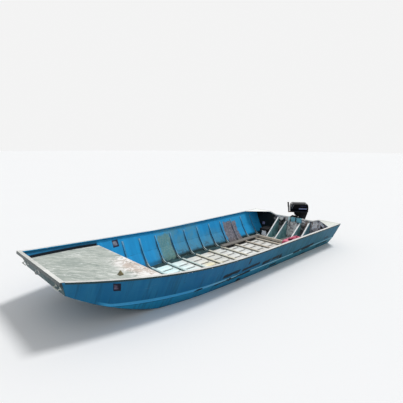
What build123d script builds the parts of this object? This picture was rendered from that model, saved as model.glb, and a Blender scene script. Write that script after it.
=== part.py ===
from build123d import *

import math
import os

# A riveted and welded aluminium jon boat, 5.2 m long, with a tiller-steered outboard motor.
# Millimetres. +X points to the bow, +Y to port and +Z up. The origin lies amidships on the
# centreline at the waterline. Lengths named "from the transom" are turned into X by along().

os.makedirs("parts", exist_ok=True)

# Hull form
hull_length = 5200.0
half_beam = 1010.0
bow_half_beam = 645.0
taper_start = 3120.0
freeboard = 430.0
sheer_start = 2340.0
bow_sheer = 218.0
draught = 80.0
chine_half = 735.0
bow_chine_half = 556.0
chine_taper_start = 1900.0
rake_start = 3400.0
bow_foot_rise = 541.0
bow_rake = 60.0
transom_rake = 45.0
knuckle_rise = 222.0
knuckle_bulge = 25.0
knuckle_end = 4700.0
knuckle_least = 12.0
bow_stations = 7

# Plating and fits
plate = 3.0
transom_plate = 4.0
weld_gap = 0.3
bead_width = 40.0
bead_depth = 8.0
bead_slope = 9.0
bead_places = (-440.0, -264.0, -88.0, 88.0, 264.0, 440.0)

# Gunwale rail, transom cap and bow cap
rail_width = 40.0
rail_height = 27.0
rail_wall = 3.0
cap_forward = 33.0
cap_inner_lip = 25.0
bow_cap_width = 48.0
bow_cap_forward = 22.0
bow_cap_wall = 6.0
bow_cap_lip = 30.0
bow_cap_over = 6.0
transom_dip = 45.0
dip_inner = 430.0
dip_outer = 580.0
corner_leg = 400.0
corner_plate_wall = 4.0
corner_plate_below = 1.0

# Fittings on the bow plate
handle_place = 470.0
handle_half = 55.0
handle_reach = 34.0
handle_radius = 6.0
# Flat sides of rods, and of larger round work
rod_sides = 8
round_sides = 24
handle_level = 0.45
handle_foot = (26.0, 30.0)
foot_wall = 4.0
eye_place = -60.0
eye_half = 22.0
eye_reach = 40.0
eye_radius = 5.0
eye_level = 0.5
eye_foot = (34.0, 70.0)
eye_cut = 12.0

# Fore deck
deck_aft = 4050.0
deck_wall = 15.0
deck_aft_height = 425.0
deck_fore_height = 543.0
deck_bow_gap = 12.0
deck_side_gap = 18.0
ledger_leg = 30.0
ledger_wall = 4.0
deck_beam_size = 40.0
deck_post_place = 330.0

# Ribs
rib_count = 11
rib_first = 310.0
rib_pitch = 330.0
rib_width = 40.0
rib_depth = 28.0
rib_chamfer = 7.0
rib_bend = 130.0
rib_knuckle_bend = 300.0
rib_top_below = 92.0
leg_width = 30.0
leg_depth = 20.0

# Stern structure
cross_member_place = 505.0
cross_member_height = 62.0
cross_member_round = 6.0
knee_wall = 4.0
knee_flange = 30.0
knee_end = 40.0
# Columns: place across the boat, height of the top above the hull bottom
knee_table = ((-360.0, 415.0), (-155.0, 365.0), (175.0, 365.0), (380.0, 415.0))
pad_half_width = 190.0
pad_wall = 28.0
pad_height = 95.0
pad_round = 6.0

# Things carried
board_aft = 540.0
board_length = 1090.0
board_width = 120.0
board_wall = 20.0
board_outer = 632.0
board_round = 3.0
battery_aft = 105.0
battery_length = 290.0
battery_width = 200.0
battery_height = 190.0
battery_lid_height = 55.0
battery_rim = 8.0
battery_round = 14.0
# Columns: share of the lid's height, how much smaller its plan is, cut of its corners
lid_table = ((0.0, 0.0, 12.0), (0.8, 8.0, 12.0), (1.0, 26.0, 12.0))
battery_inner = 405.0
tank_aft = 560.0
tank_length = 500.0
tank_width = 270.0
tank_height = 262.0
tank_inner = 355.0
# Columns: share of the height, how much smaller the plan is, cut of its corners
tank_table = ((0.0, 24.0, 32.0), (0.1, 0.0, 40.0), (0.6, 8.0, 40.0), (0.8, 36.0, 34.0), (0.85, 70.0, 26.0))
fuel_cap_place = 130.0
fuel_cap_radius = 36.0
fuel_cap_height = 26.0
# Columns: distance forward of the tank's middle, height over the tank's top
handle_table = (
    (-117.0, 0.0), (-117.0, 30.0), (-104.0, 41.0), (54.0, 41.0), (67.0, 30.0),
    (67.0, 0.0), (53.0, 0.0), (53.0, 27.0), (-103.0, 27.0), (-103.0, 0.0),
)
tank_handle_half = 13.0
wedge_size = 56.0
wedge_height = 50.0
wedge_tip = 2.5
wedge_x = 4472.0
wedge_y = 465.0

# Outboard motor, measured aft from the outside of the transom cap's lip, and how far it stands
# turned to port
steering_rest = -50.0
tilt_back = 28.0
tilt_rise = 14.0
tilt_tube_radius = 11.0
tilt_eye_radius = 20.0
swivel_back = 101.0
clamp_half = 66.0
clamp_wall = 10.0
clamp_outer_leg = 175.0
clamp_inner_leg = 95.0
clamp_leg_depth = 30.0
clamp_boss = 26.0
clamp_ahead = 8.0
clamp_crown = 10.0
clamp_foot_wall = 14.0
clamp_bar_radius = 9.0
clamp_bar_rise = 18.0
screw_level = clamp_boss / 2 - clamp_inner_leg
screw_radius = 5.0
screw_length = 62.0
screw_pad_radius = 16.0
screw_pad_wall = 5.0
screw_bar_half = 34.0
swivel_side_gap = 5.5
swivel_eye = 9.0
swivel_arm = 18.0
swivel_web = 85.0
swivel_radius = 28.0
pivot_radius = 17.0
pivot_end = 8.0
yoke_top_gap = 6.0
yoke_top = (34.0, 60.0)
yoke_foot = (26.0, 44.0)
yoke_foot_wall = 20.0
swivel_top = 382.0
swivel_bottom = 189.0
pan_bottom = 430.0
pan_top = 506.0
cowl_top = 690.0
cowl_fore = 150.0
cowl_aft = 214.0
cowl_half_width = 129.0
cowl_corner = 62.0
# Columns: share of the cowl's height, growth of the pan's outline
cowl_table = ((0.0, 3.0), (0.4, 6.0), (0.82, -4.0), (0.94, -16.0), (1.0, -38.0))
pan_nose_radius = 72.0
pan_half_width = 122.0
pan_length = 284.0
pan_shoulder = 95.0
pan_flare = 14.0
pan_corner = (55.0, 16.0)
leg_back = 205.0
vent_plate_height = -128.0
propeller_height = -282.0
skeg_bottom = -440.0
strut_width = 40.0
# Columns: share of the height up to the plate, length fore and aft, shift forward
strut_table = ((0.0, 144.0, -7.0), (1.0, 130.0, -12.0))
vent_plate_wall = 6.0
skeg_wall = 8.0
# Columns: distance aft of the leg's middle or its nose, height over the skeg's foot
skeg_table = ((85.0, 158.0), (80.0, 0.0), (30.0, 4.0))
skeg_start = 60.0
gearcase_nose = 93.0
# Columns: distance behind the nose's tip, radius
nose_table = ((0.0, 5.0), (12.0, 17.0), (46.0, 31.0), (90.0, 34.0))
# Columns: distance forward of the leg's middle, half-breadth of the plate over the propeller
vent_table = ((80.0, 0.0), (40.0, 62.0), (-150.0, 82.0), (-190.0, 60.0))
gearcase_tail = 288.0
propeller_radius = 118.0
# Columns: radius as a share of the propeller's, blade's chord, blade's wall
blade_table = ((0.2, 60.0, 8.0), (0.5, 88.0, 5.0), (0.8, 86.0, 3.5), (1.0, 40.0, 2.5))
hub_radius = 31.0
hub_length = 82.0
propeller_pitch = 230.0
propeller_gap = 2.0
hub_cone = (0.8, 0.7)
tiller_height = 490.0
tiller_raised = 84
tiller_knuckle = 13.0
tiller_pin_radius = 4.0
tiller_pivot_fore = 75.0
tiller_length = 205.0
tiller_radius = 15.0
tiller_arm_share = 0.5
tiller_arm_height = 20.0
tiller_arm_half = 11.0
grip_flange = (12.0, 3.0)
fork_half = 24.0
fork_slot_half = 16.5
fork_slot = 60.0
fork_slot_shift = 14.0
fit_gap = 0.3


def along(distance):
    """X of a place given by its distance forward of the transom."""
    return distance - hull_length / 2


def arc_drop(distance, start, end, total):
    """How far a circular arc has left its tangent: nothing at start, total at end."""
    run = end - start
    radius = (run**2 + total**2) / (2 * total)
    reach = min(max(distance - start, 0.0), run)
    return radius - math.sqrt(radius**2 - reach**2)


bow_foot = hull_length - bow_rake


def keel_height(distance):
    return -draught + arc_drop(distance, rake_start, bow_foot, bow_foot_rise)


def gunwale_height(distance):
    return freeboard + arc_drop(distance, sheer_start, hull_length, bow_sheer)


def gunwale_half(distance):
    return half_beam - arc_drop(distance, taper_start, hull_length, half_beam - bow_half_beam)


def chine_half_at(distance):
    return chine_half - arc_drop(distance, chine_taper_start, bow_foot, chine_half - bow_chine_half)


def inset(points, distance):
    """Move an open polyline of (y, z) points to its left by distance, with mitred corners."""
    normals = []
    for (y0, z0), (y1, z1) in zip(points, points[1:]):
        length = math.hypot(y1 - y0, z1 - z0)
        normals.append((-(z1 - z0) / length, (y1 - y0) / length))
    moved = []
    for index, (y, z) in enumerate(points):
        before = normals[max(index - 1, 0)]
        after = normals[min(index, len(normals) - 1)]
        share = distance / (1 + before[0] * after[0] + before[1] * after[1])
        moved.append((y + share * (before[0] + after[0]), z + share * (before[1] + after[1])))
    return moved


def across(points, z):
    """Y of a rising polyline of (y, z) points at height z; its end runs are carried on."""
    low, high = points[0], points[1]
    for first, second in zip(points, points[1:]):
        low, high = first, second
        if z <= second[1]:
            break
    return low[0] + (high[0] - low[0]) * (z - low[1]) / (high[1] - low[1])


class Station:
    """A cross-section of the hull, upright or leaning, with its foot and top at two places."""

    def __init__(self, foot, top):
        self.foot = foot
        self.top = top
        self.keel = keel_height(foot)
        self.gunwale = gunwale_height(top)
        chine = (chine_half_at(foot), self.keel)
        edge = (gunwale_half(top), self.gunwale)
        bulge = knuckle_rise - arc_drop(foot, rake_start, knuckle_end, knuckle_rise - knuckle_least)
        if foot > knuckle_end:
            bulge = knuckle_least
        share = bulge / (self.gunwale - self.keel)
        knuckle = (
            chine[0] + (edge[0] - chine[0]) * share + knuckle_bulge * bulge / knuckle_rise,
            self.keel + bulge,
        )
        self.outer = [chine, knuckle, edge]
        self.inner = inset(self.outer, plate)

    def place(self, y, z):
        """The point of this section at half-breadth y and height z."""
        share = (z - self.keel) / (self.gunwale - self.keel)
        return (along(self.foot + (self.top - self.foot) * share), y, z)

    def face(self, points):
        """A planar face of this section through (y, z) points."""
        with BuildLine() as outline:
            Polyline(*[self.place(y, z) for y, z in points], close=True)
        return Face(outline.wire())


def mixed(aft, fore, share):
    """The section that lies a share of the way between two others, as the plating runs."""
    section = Station(aft.foot, aft.top)
    section.foot = aft.foot + (fore.foot - aft.foot) * share
    section.top = aft.top + (fore.top - aft.top) * share
    section.outer = [
        (a[0] + (b[0] - a[0]) * share, a[1] + (b[1] - a[1]) * share)
        for a, b in zip(aft.outer, fore.outer)
    ]
    section.inner = inset(section.outer, plate)
    section.keel = section.outer[0][1]
    section.gunwale = section.outer[2][1]
    return section


def stations(stern_gap=weld_gap, bow_gap=weld_gap):
    """The hull's sections, from a gap inside the transom to a gap inside the bow plate."""
    even = [sheer_start / 2, sheer_start, (sheer_start + taper_start) / 2, taper_start]
    bow_run = bow_foot - rake_start
    even += [rake_start + bow_run * step / bow_stations for step in range(bow_stations)]
    row = [Station(transom_rake, 0.0)]
    row += [Station(place, place) for place in even]
    row.append(Station(bow_foot, hull_length))
    first = mixed(row[0], row[1], stern_gap / (row[1].top - row[0].top))
    last = mixed(row[-1], row[-2], bow_gap / (row[-1].top - row[-2].top))
    return [first, *row[1:-1], last]


def between(distance):
    """The upright section at a place, as the plating runs between the hull's sections."""
    row = stations()
    for aft, fore in zip(row, row[1:]):
        if distance <= fore.foot:
            break
    return mixed(aft, fore, (distance - aft.foot) / (fore.foot - aft.foot))


def mirrored(points, side):
    """The points on the port side (1) or the starboard side (-1)."""
    return [(side * y, z) for y, z in points]


def rectangle_ring(x, y, z, length, width, corner):
    """Corners of a level rectangle about (x, y), with its own corners cut off."""
    half, side = length / 2, width / 2
    quarter = [(half, side - corner), (half - corner, side)]
    upper = [*quarter, *[(-u, v) for u, v in quarter[::-1]]]
    return [(x + u, y + v, z) for u, v in [*upper, *[(u, -v) for u, v in upper[::-1]]]]


def faceted(rings):
    """A solid of flat faces through rings of corners, closed by its first and last ring."""
    faces = [Face(Wire.make_polygon(rings[0])), Face(Wire.make_polygon(rings[-1]))]
    for low, high in zip(rings, rings[1:]):
        for index in range(len(low)):
            after = (index + 1) % len(low)
            faces.append(Face(Wire.make_polygon([low[index], low[after], high[after]])))
            faces.append(Face(Wire.make_polygon([low[index], high[after], high[index]])))
    return Solid(Shell(faces)).clean()


def level_ring(place, radius):
    """Corners of a many-sided ring about the propeller's line."""
    turns = [2 * math.pi * (step + 0.5) / round_sides for step in range(round_sides)]
    return [(place, radius * math.cos(turn), propeller_height + radius * math.sin(turn)) for turn in turns]


# Hull plating

with BuildPart() as hull_bottom:
    sections = []
    for station in stations():
        low = station.keel
        under = [(-station.outer[0][0], low)]
        for middle in bead_places:
            under += [
                (middle - bead_width / 2, low),
                (middle - bead_width / 2 + bead_slope, low - bead_depth),
                (middle + bead_width / 2 - bead_slope, low - bead_depth),
                (middle + bead_width / 2, low),
            ]
        under.append((station.outer[0][0], low))
        over = [(y, z + plate) for y, z in under]
        over[0] = (-across(station.outer, low + plate), low + plate)
        over[-1] = (across(station.outer, low + plate), low + plate)
        sections.append(station.face(under + over[::-1]))
    loft(sections, ruled=True)
hull_bottom.part.label = "hull_bottom"


def side_plate(side):
    """One side of the hull, a bent sheet from the chine over the knuckle to the gunwale."""
    sections = []
    for station in stations():
        low = station.keel + plate + weld_gap
        high = station.gunwale - rail_wall - weld_gap
        outline = [
            (across(station.outer, low), low),
            station.outer[1],
            (across(station.outer, high), high),
            (across(station.inner, high), high),
            station.inner[1],
            (across(station.inner, low), low),
        ]
        sections.append(station.face(mirrored(outline, side)))
    with BuildPart() as sheet:
        loft(sections, ruled=True)
    return sheet.part


side_port = side_plate(1)
side_port.label = "side_port"
side_starboard = side_plate(-1)
side_starboard.label = "side_starboard"

# Transom, set in its own leaning plane: across the boat and up the slope
stern = Station(transom_rake, 0.0)
transom_height = stern.gunwale - stern.keel
transom_lean = math.atan2(transom_rake, transom_height)
transom_plane = Plane(
    origin=(along(transom_rake), 0, stern.keel),
    x_dir=(0, 1, 0),
    z_dir=(math.cos(transom_lean), 0, math.sin(transom_lean)),
)


def up_slope(height):
    """Distance up the transom's slope of a height above the hull's bottom."""
    return height / math.cos(transom_lean)


dip_height = transom_height - transom_dip


def transom_top(lower, half):
    """The transom's top edge, lowered, out to a half-breadth, with its dip for the motor."""
    high = up_slope(transom_height - lower)
    dip = up_slope(dip_height - lower)
    return [
        (-half, high), (-dip_outer, high), (-dip_inner, dip),
        (dip_inner, dip), (dip_outer, high), (half, high),
    ]


with BuildPart() as transom:
    with BuildSketch(transom_plane):
        with BuildLine():
            lowered = rail_wall + weld_gap
            edge_half = across(stern.outer, stern.gunwale - lowered)
            top = transom_top(lowered, edge_half)
            knuckle = (stern.outer[1][0], up_slope(knuckle_rise))
            foot = (stern.outer[0][0], 0)
            Polyline(
                *top, knuckle, foot, (-foot[0], 0), (-knuckle[0], knuckle[1]), top[0]
            )
        make_face()
    extrude(amount=-transom_plate)
transom.part.label = "transom"

with BuildPart() as transom_cap:
    cap_half = half_beam + rail_wall
    cap_aft = transom_plate + weld_gap + rail_wall
    with BuildSketch(transom_plane.offset(-cap_aft)):
        with BuildLine():
            Polyline(*transom_top(0, cap_half), *transom_top(rail_wall, cap_half)[::-1], close=True)
        make_face()
    extrude(amount=cap_aft + cap_forward)
    lip_half = half_beam - rail_height * 0.4
    inner_half = half_beam - rail_width
    for start, half, depth in (
        (-cap_aft, lip_half, rail_height), (cap_forward - rail_wall, inner_half, cap_inner_lip)
    ):
        with BuildSketch(transom_plane.offset(start)):
            with BuildLine():
                Polyline(*transom_top(0, half), *transom_top(depth, half)[::-1], close=True)
            make_face()
        extrude(amount=rail_wall)
transom_cap.part.label = "transom_cap"

# Bow plate, in its own leaning plane
bow = Station(bow_foot, hull_length)
bow_height = bow.gunwale - bow.keel
bow_lean = math.atan2(bow_rake, bow_height)
bow_plane = Plane(
    origin=(along(bow_foot), 0, bow.keel),
    x_dir=(0, 1, 0),
    z_dir=(math.cos(bow_lean), 0, -math.sin(bow_lean)),
)
with BuildPart() as bow_plate:
    with BuildSketch(bow_plane):
        with BuildLine():
            top = bow_height - rail_wall - weld_gap
            slope = 1 / math.cos(bow_lean)
            half_top = across(bow.outer, bow.keel + top)
            knuckle = (bow.outer[1][0], (bow.outer[1][1] - bow.keel) * slope)
            right = [(bow.outer[0][0], 0), knuckle, (half_top, top * slope)]
            Polyline(*right, *[(-y, z) for y, z in right[::-1]], close=True)
        make_face()
    extrude(amount=plate)
bow_plate.part.label = "bow_plate"

# Gunwale rails, a channel over each side's top edge


def gunwale_rail(side):
    """One gunwale rail, from the transom cap to the bow cap."""
    sections = []
    row = stations(cap_forward + weld_gap, bow_cap_width - bow_cap_forward + weld_gap)
    for station in row:
        edge, high = station.outer[2]
        lean = (edge - station.outer[1][0]) / (high - station.outer[1][1])
        grip = edge + weld_gap
        outline = [
            (grip + rail_wall, high),
            (grip + rail_wall - lean * rail_height, high - rail_height),
            (grip - lean * rail_height, high - rail_height),
            (grip - lean * rail_wall, high - rail_wall),
            (edge - rail_width + rail_wall, high - rail_wall),
            (edge - rail_width + rail_wall, high - rail_height / 2),
            (edge - rail_width, high - rail_height / 2),
            (edge - rail_width, high),
        ]
        sections.append(station.face(mirrored(outline, side)))
    with BuildPart() as rail:
        loft(sections, ruled=True)
    return rail.part


gunwale_port = gunwale_rail(1)
gunwale_port.label = "gunwale_port"
gunwale_starboard = gunwale_rail(-1)
gunwale_starboard.label = "gunwale_starboard"

# Bow cap, tilted with the sheer
aft_station = stations()[-2]
sheer_slope = math.atan2(bow.gunwale - aft_station.gunwale, hull_length - aft_station.top)
bow_cap_plane = Plane(
    origin=(along(hull_length), 0, bow.gunwale - rail_wall),
    x_dir=(math.cos(sheer_slope), 0, math.sin(sheer_slope)),
    z_dir=(0, -1, 0),
)
with BuildPart() as bow_cap:
    with BuildSketch(bow_cap_plane):
        with BuildLine():
            front = bow_cap_forward
            Polyline(
                (front, bow_cap_wall), (front, -bow_cap_lip), (front - rail_wall, -bow_cap_lip),
                (front - rail_wall, 0), (front - bow_cap_width, 0),
                (front - bow_cap_width, bow_cap_wall), close=True,
            )
        make_face()
    extrude(amount=bow_half_beam + bow_cap_over, both=True)
bow_cap.part.label = "bow_cap"

# Fore deck sheet, sloping up to the bow
deck_fore = hull_length - bow_rake - deck_bow_gap
deck_rise = deck_fore_height - deck_aft_height
deck_slope = math.atan2(deck_rise, deck_fore - deck_aft)


def deck_height(distance):
    """Height of the deck's top at a place."""
    return deck_aft_height + (distance - deck_aft) * math.tan(deck_slope)


deck_plane = Plane(
    origin=(along(deck_aft), 0, deck_aft_height),
    x_dir=(math.cos(deck_slope), 0, math.sin(deck_slope)),
    z_dir=(-math.sin(deck_slope), 0, math.cos(deck_slope)),
)
deck_stops = [
    deck_aft,
    *[station.foot for station in stations() if deck_aft < station.foot < deck_fore],
    deck_fore,
]


def deck_side(distance, lower):
    """Half-breadth inside the plating at the deck, or lower by some height."""
    section = between(distance)
    return across(section.inner, deck_height(distance) - lower)


with BuildPart() as fore_deck:
    with BuildSketch(deck_plane):
        with BuildLine():
            right = [
                ((place - deck_aft) / math.cos(deck_slope), deck_side(place, deck_wall) - deck_side_gap)
                for place in deck_stops
            ]
            Polyline(*right, *[(u, -v) for u, v in right[::-1]], close=True)
        make_face()
    extrude(amount=-deck_wall)
fore_deck.part.label = "fore_deck"


def deck_ledger(side):
    """An angle bar along the hull side that the deck rests on."""
    sections = []
    for place in deck_stops:
        section = between(place)
        high = deck_height(place) - deck_wall / math.cos(deck_slope) - weld_gap
        wall = across(section.inner, high) - weld_gap
        foot = across(section.inner, high - ledger_leg) - weld_gap
        bend = across(section.inner, high - ledger_wall) - weld_gap - ledger_wall
        outline = [
            (wall, high), (wall - ledger_leg - deck_side_gap, high),
            (wall - ledger_leg - deck_side_gap, high - ledger_wall), (bend, high - ledger_wall),
            (foot - ledger_wall, high - ledger_leg), (foot, high - ledger_leg),
        ]
        with BuildLine() as edge:
            Polyline(*[(along(place), side * y, z) for y, z in outline], close=True)
        sections.append(Face(edge.wire()))
    with BuildPart() as bar:
        loft(sections, ruled=True)
    return bar.part


with BuildPart() as deck_ledgers:
    add(deck_ledger(1))
    add(deck_ledger(-1))
deck_ledgers.part.label = "deck_ledgers"

with BuildPart() as deck_beam:
    beam_top = deck_aft_height - deck_wall / math.cos(deck_slope) - weld_gap
    beam_middle = deck_aft + deck_beam_size / 2
    beam_fore = deck_aft + deck_beam_size
    beam_half = deck_side(beam_fore, deck_wall) - 3 * weld_gap - ledger_leg - deck_side_gap
    post_foot = between(beam_fore).keel + plate + weld_gap
    with BuildSketch(Plane.XY.offset(beam_top - deck_beam_size)):
        with Locations((along(beam_middle), 0)):
            Rectangle(deck_beam_size, 2 * beam_half)
    extrude(amount=deck_beam_size)
    with BuildSketch(Plane.XY.offset(post_foot)):
        with Locations((along(beam_middle), -deck_post_place), (along(beam_middle), deck_post_place)):
            Rectangle(deck_beam_size, deck_beam_size)
    extrude(amount=beam_top - deck_beam_size - post_foot)
deck_beam.part.label = "deck_beam"

# Ribs: a bar across the floor and a bent leg up each side
floor_top = -draught + plate
rib_seat = floor_top + weld_gap


def rib_route(section, depth):
    """Centre line of a rib leg against the plating, from the floor to below the gunwale."""
    reach = plate + weld_gap + depth / 2
    floor = [(0.0, section.keel), *section.outer]
    return inset(floor, reach)


rib_places = [rib_first + rib_pitch * index for index in range(rib_count)]


def rib_legs(side):
    """The bent legs of all the ribs on one side."""
    legs = []
    for place in rib_places:
        section = between(place + leg_width / 2)
        centre = rib_route(section, leg_depth)
        chine_turn = math.atan2(centre[2][1] - centre[1][1], centre[2][0] - centre[1][0])
        start = centre[1][0] - rib_bend * math.tan(chine_turn / 2) - 1.0
        high = section.gunwale - rib_top_below
        stops = [(start, centre[1][1]), centre[1], centre[2], (across(centre[1:], high), high)]
        with BuildPart() as leg:
            with BuildLine() as route:
                FilletPolyline(
                    *[(along(place), side * y, z) for y, z in stops],
                    radius=[rib_bend, rib_knuckle_bend],
                )
            with BuildSketch(Plane(origin=route.line @ 0, x_dir=(1, 0, 0), z_dir=route.line % 0)):
                Rectangle(leg_width, leg_depth)
            sweep(path=route.line)
        legs.append(leg.part)
    return legs


with BuildPart() as rib_legs_port:
    add(rib_legs(1))
rib_legs_port.part.label = "rib_legs_port"

with BuildPart() as rib_legs_starboard:
    add(rib_legs(-1))
rib_legs_starboard.part.label = "rib_legs_starboard"


def leg_start():
    """Half-breadth at which the rib legs' bends begin."""
    centre = rib_route(between(rib_places[-1] + leg_width / 2), leg_depth)
    chine_turn = math.atan2(centre[2][1] - centre[1][1], centre[2][0] - centre[1][0])
    return centre[1][0] - rib_bend * math.tan(chine_turn / 2) - 1.0


rib_half = leg_start() - weld_gap
with BuildPart() as floor_ribs:
    for place in rib_places[1:]:
        seat = between(place + rib_width / 2).keel + plate + weld_gap
        with BuildSketch(Plane(origin=(along(place), -rib_half, seat), x_dir=(1, 0, 0), z_dir=(0, 1, 0))):
            with BuildLine():
                half = rib_width / 2
                crown = half - rib_chamfer
                shoulder = rib_chamfer - rib_depth
                Polyline((-half, 0), (half, 0), (half, shoulder), (crown, -rib_depth),
                         (-crown, -rib_depth), (-half, shoulder), close=True)
            make_face()
        extrude(amount=2 * rib_half)
floor_ribs.part.label = "floor_ribs"

# Stern structure
with BuildPart() as cross_member:
    with BuildSketch(Plane.XY.offset(rib_seat)):
        with Locations((along(cross_member_place), 0)):
            Rectangle(rib_width, 2 * rib_half)
    extrude(amount=cross_member_height)
    fillet(cross_member.edges().filter_by(Axis.Y).group_by(Axis.Z)[-1], cross_member_round)
cross_member.part.label = "cross_member"


def transom_inside(height):
    """Distance forward of the transom's inside face at a height above the bottom."""
    return transom_rake * (1 - height / transom_height)


with BuildPart() as transom_knees:
    for place, top in knee_table:
        foot = plate + weld_gap
        aft_low = transom_inside(foot) + weld_gap / math.cos(transom_lean)
        aft_high = transom_inside(top) + weld_gap / math.cos(transom_lean)
        toe = cross_member_place - rib_width / 2 - weld_gap - knee_wall
        knee_plane = Plane(origin=(along(0), place, -draught), x_dir=(1, 0, 0), z_dir=(0, -1, 0))
        web = [
            (aft_low, foot), (toe, foot), (toe, foot + knee_end),
            (aft_high + knee_end, top), (aft_high, top),
        ]
        with BuildSketch(knee_plane.offset(-knee_wall / 2)):
            with BuildLine():
                Polyline(*web, close=True)
            make_face()
        extrude(amount=knee_wall)
        slope = math.hypot(web[3][0] - web[2][0], web[3][1] - web[2][1])
        out = ((web[2][1] - web[3][1]) / slope * -knee_wall, (web[2][0] - web[3][0]) / slope * knee_wall)
        with BuildSketch(knee_plane.offset(-knee_flange / 2)):
            with BuildLine():
                Polyline(web[2], web[3], (web[3][0] + out[0], web[3][1] + out[1]),
                         (web[2][0] + out[0], web[2][1] + out[1]), close=True)
            make_face()
        extrude(amount=knee_flange)
transom_knees.part.label = "transom_knees"

with BuildPart() as motor_pad:
    pad_top = up_slope(dip_height - rail_wall) - weld_gap
    with BuildSketch(transom_plane.offset(weld_gap)):
        with Locations((0, pad_top - pad_height / 2)):
            Rectangle(2 * pad_half_width, pad_height)
    extrude(amount=pad_wall)
    fillet(motor_pad.edges().filter_by(Axis.Z, tolerance=10).group_by(Axis.X)[-1], pad_round)
motor_pad.part.label = "motor_pad"


def corner_plate(side):
    """A triangular plate let in between the gunwale rail and the transom cap."""
    edge = half_beam - rail_width - weld_gap
    high = freeboard - corner_plate_below
    start = cap_forward + 3 * weld_gap
    with BuildPart() as corner:
        with BuildSketch(Plane.XY.offset(high - corner_plate_wall)):
            with BuildLine():
                Polyline(
                    (along(start), side * edge), (along(start + corner_leg), side * edge),
                    (along(start), side * (edge - corner_leg)), close=True,
                )
            make_face()
        extrude(amount=corner_plate_wall)
    return corner.part


corner_port = corner_plate(1)
corner_port.label = "corner_plate_port"
corner_starboard = corner_plate(-1)
corner_starboard.label = "corner_plate_starboard"

# Bow fittings on the bow plate's outside
bow_face = bow_plane.offset(plate + weld_gap)
with BuildPart() as bow_handles:
    for middle in (-handle_place, handle_place):
        handle_plane = Plane(
            origin=bow_face.from_local_coords((middle, bow_height * handle_level, 0)),
            x_dir=(0, 1, 0), z_dir=bow_plane.z_dir,
        )
        with BuildSketch(handle_plane):
            with Locations((-handle_half, 0), (handle_half, 0)):
                Rectangle(*handle_foot)
        extrude(amount=foot_wall)
        with BuildLine() as grip:
            corners = [
                (-handle_half, 0, foot_wall), (-handle_half, 0, handle_reach),
                (handle_half, 0, handle_reach), (handle_half, 0, foot_wall),
            ]
            Polyline(*[handle_plane.from_local_coords(c) for c in corners])
        with BuildSketch(Plane(origin=grip.line @ 0, z_dir=grip.line % 0)):
            RegularPolygon(handle_radius, rod_sides)
        sweep(path=grip.line, transition=Transition.RIGHT)
bow_handles.part.label = "bow_handles"

with BuildPart() as bow_eye:
    eye_plane = Plane(
        origin=bow_face.from_local_coords((eye_place, bow_height * eye_level, 0)),
        x_dir=(0, 1, 0), z_dir=bow_plane.z_dir,
    )
    with BuildSketch(eye_plane):
        Rectangle(*eye_foot)
    extrude(amount=foot_wall)
    with BuildLine() as bend:
        corners = [
            (0, -eye_half, foot_wall), (0, -eye_half, eye_reach - eye_cut),
            (0, -eye_half + eye_cut, eye_reach), (0, eye_half - eye_cut, eye_reach),
            (0, eye_half, eye_reach - eye_cut), (0, eye_half, foot_wall),
        ]
        Polyline(*[eye_plane.from_local_coords(c) for c in corners])
    with BuildSketch(Plane(origin=bend.line @ 0, z_dir=bend.line % 0)):
        RegularPolygon(eye_radius, rod_sides)
    sweep(path=bend.line, transition=Transition.RIGHT)
bow_eye.part.label = "bow_eye"

# Things carried
rib_top = rib_seat + rib_depth
with BuildPart() as side_floorboard:
    with BuildSketch(Plane.XY.offset(rib_top)):
        with Locations((along(board_aft + board_length / 2), -board_outer + board_width / 2)):
            Rectangle(board_length, board_width)
    extrude(amount=board_wall)
    fillet(side_floorboard.edges().filter_by(Axis.X).group_by(Axis.Z)[-1], board_round)
side_floorboard.part.label = "side_floorboard"

with BuildPart() as battery_box:
    middle_x = along(battery_aft + battery_length / 2)
    middle_y = -battery_inner - battery_width / 2
    with BuildSketch(Plane.XY.offset(floor_top + weld_gap)):
        with Locations((middle_x, middle_y)):
            RectangleRounded(battery_length - 2 * battery_rim, battery_width - 2 * battery_rim, battery_round)
    with BuildSketch(Plane.XY.offset(floor_top + weld_gap + battery_height - battery_lid_height)):
        with Locations((middle_x, middle_y)):
            RectangleRounded(battery_length - battery_rim, battery_width - battery_rim, battery_round)
    loft(ruled=True)
battery_box.part.label = "battery_box"

with BuildPart() as battery_lid:
    lid_low = floor_top + 2 * weld_gap + battery_height - battery_lid_height
    add(faceted([
        rectangle_ring(middle_x, middle_y, lid_low + battery_lid_height * share,
                       battery_length - less, battery_width - less, corner)
        for share, less, corner in lid_table
    ]))
battery_lid.part.label = "battery_lid"

with BuildPart() as fuel_tank:
    tank_x = along(tank_aft + tank_length / 2)
    tank_y = tank_inner + tank_width / 2
    add(faceted([
        rectangle_ring(tank_x, tank_y, rib_top + fit_gap + tank_height * share,
                       tank_length - less, tank_width - less, corner)
        for share, less, corner in tank_table
    ]))
fuel_tank.part.label = "fuel_tank"

tank_top = rib_top + fit_gap + tank_height * tank_table[-1][0]
with BuildPart() as fuel_cap:
    with BuildSketch(Plane.XY.offset(tank_top + fit_gap)):
        with Locations((tank_x + fuel_cap_place, tank_y)):
            RegularPolygon(fuel_cap_radius, round_sides)
    extrude(amount=fuel_cap_height)
fuel_cap.part.label = "fuel_cap"

with BuildPart() as tank_handle:
    with BuildSketch(Plane(origin=(tank_x, tank_y, tank_top + fit_gap), x_dir=(1, 0, 0), z_dir=(0, -1, 0))):
        with BuildLine():
            Polyline(*handle_table, close=True)
        make_face()
    extrude(amount=tank_handle_half, both=True)
tank_handle.part.label = "tank_handle"

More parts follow.
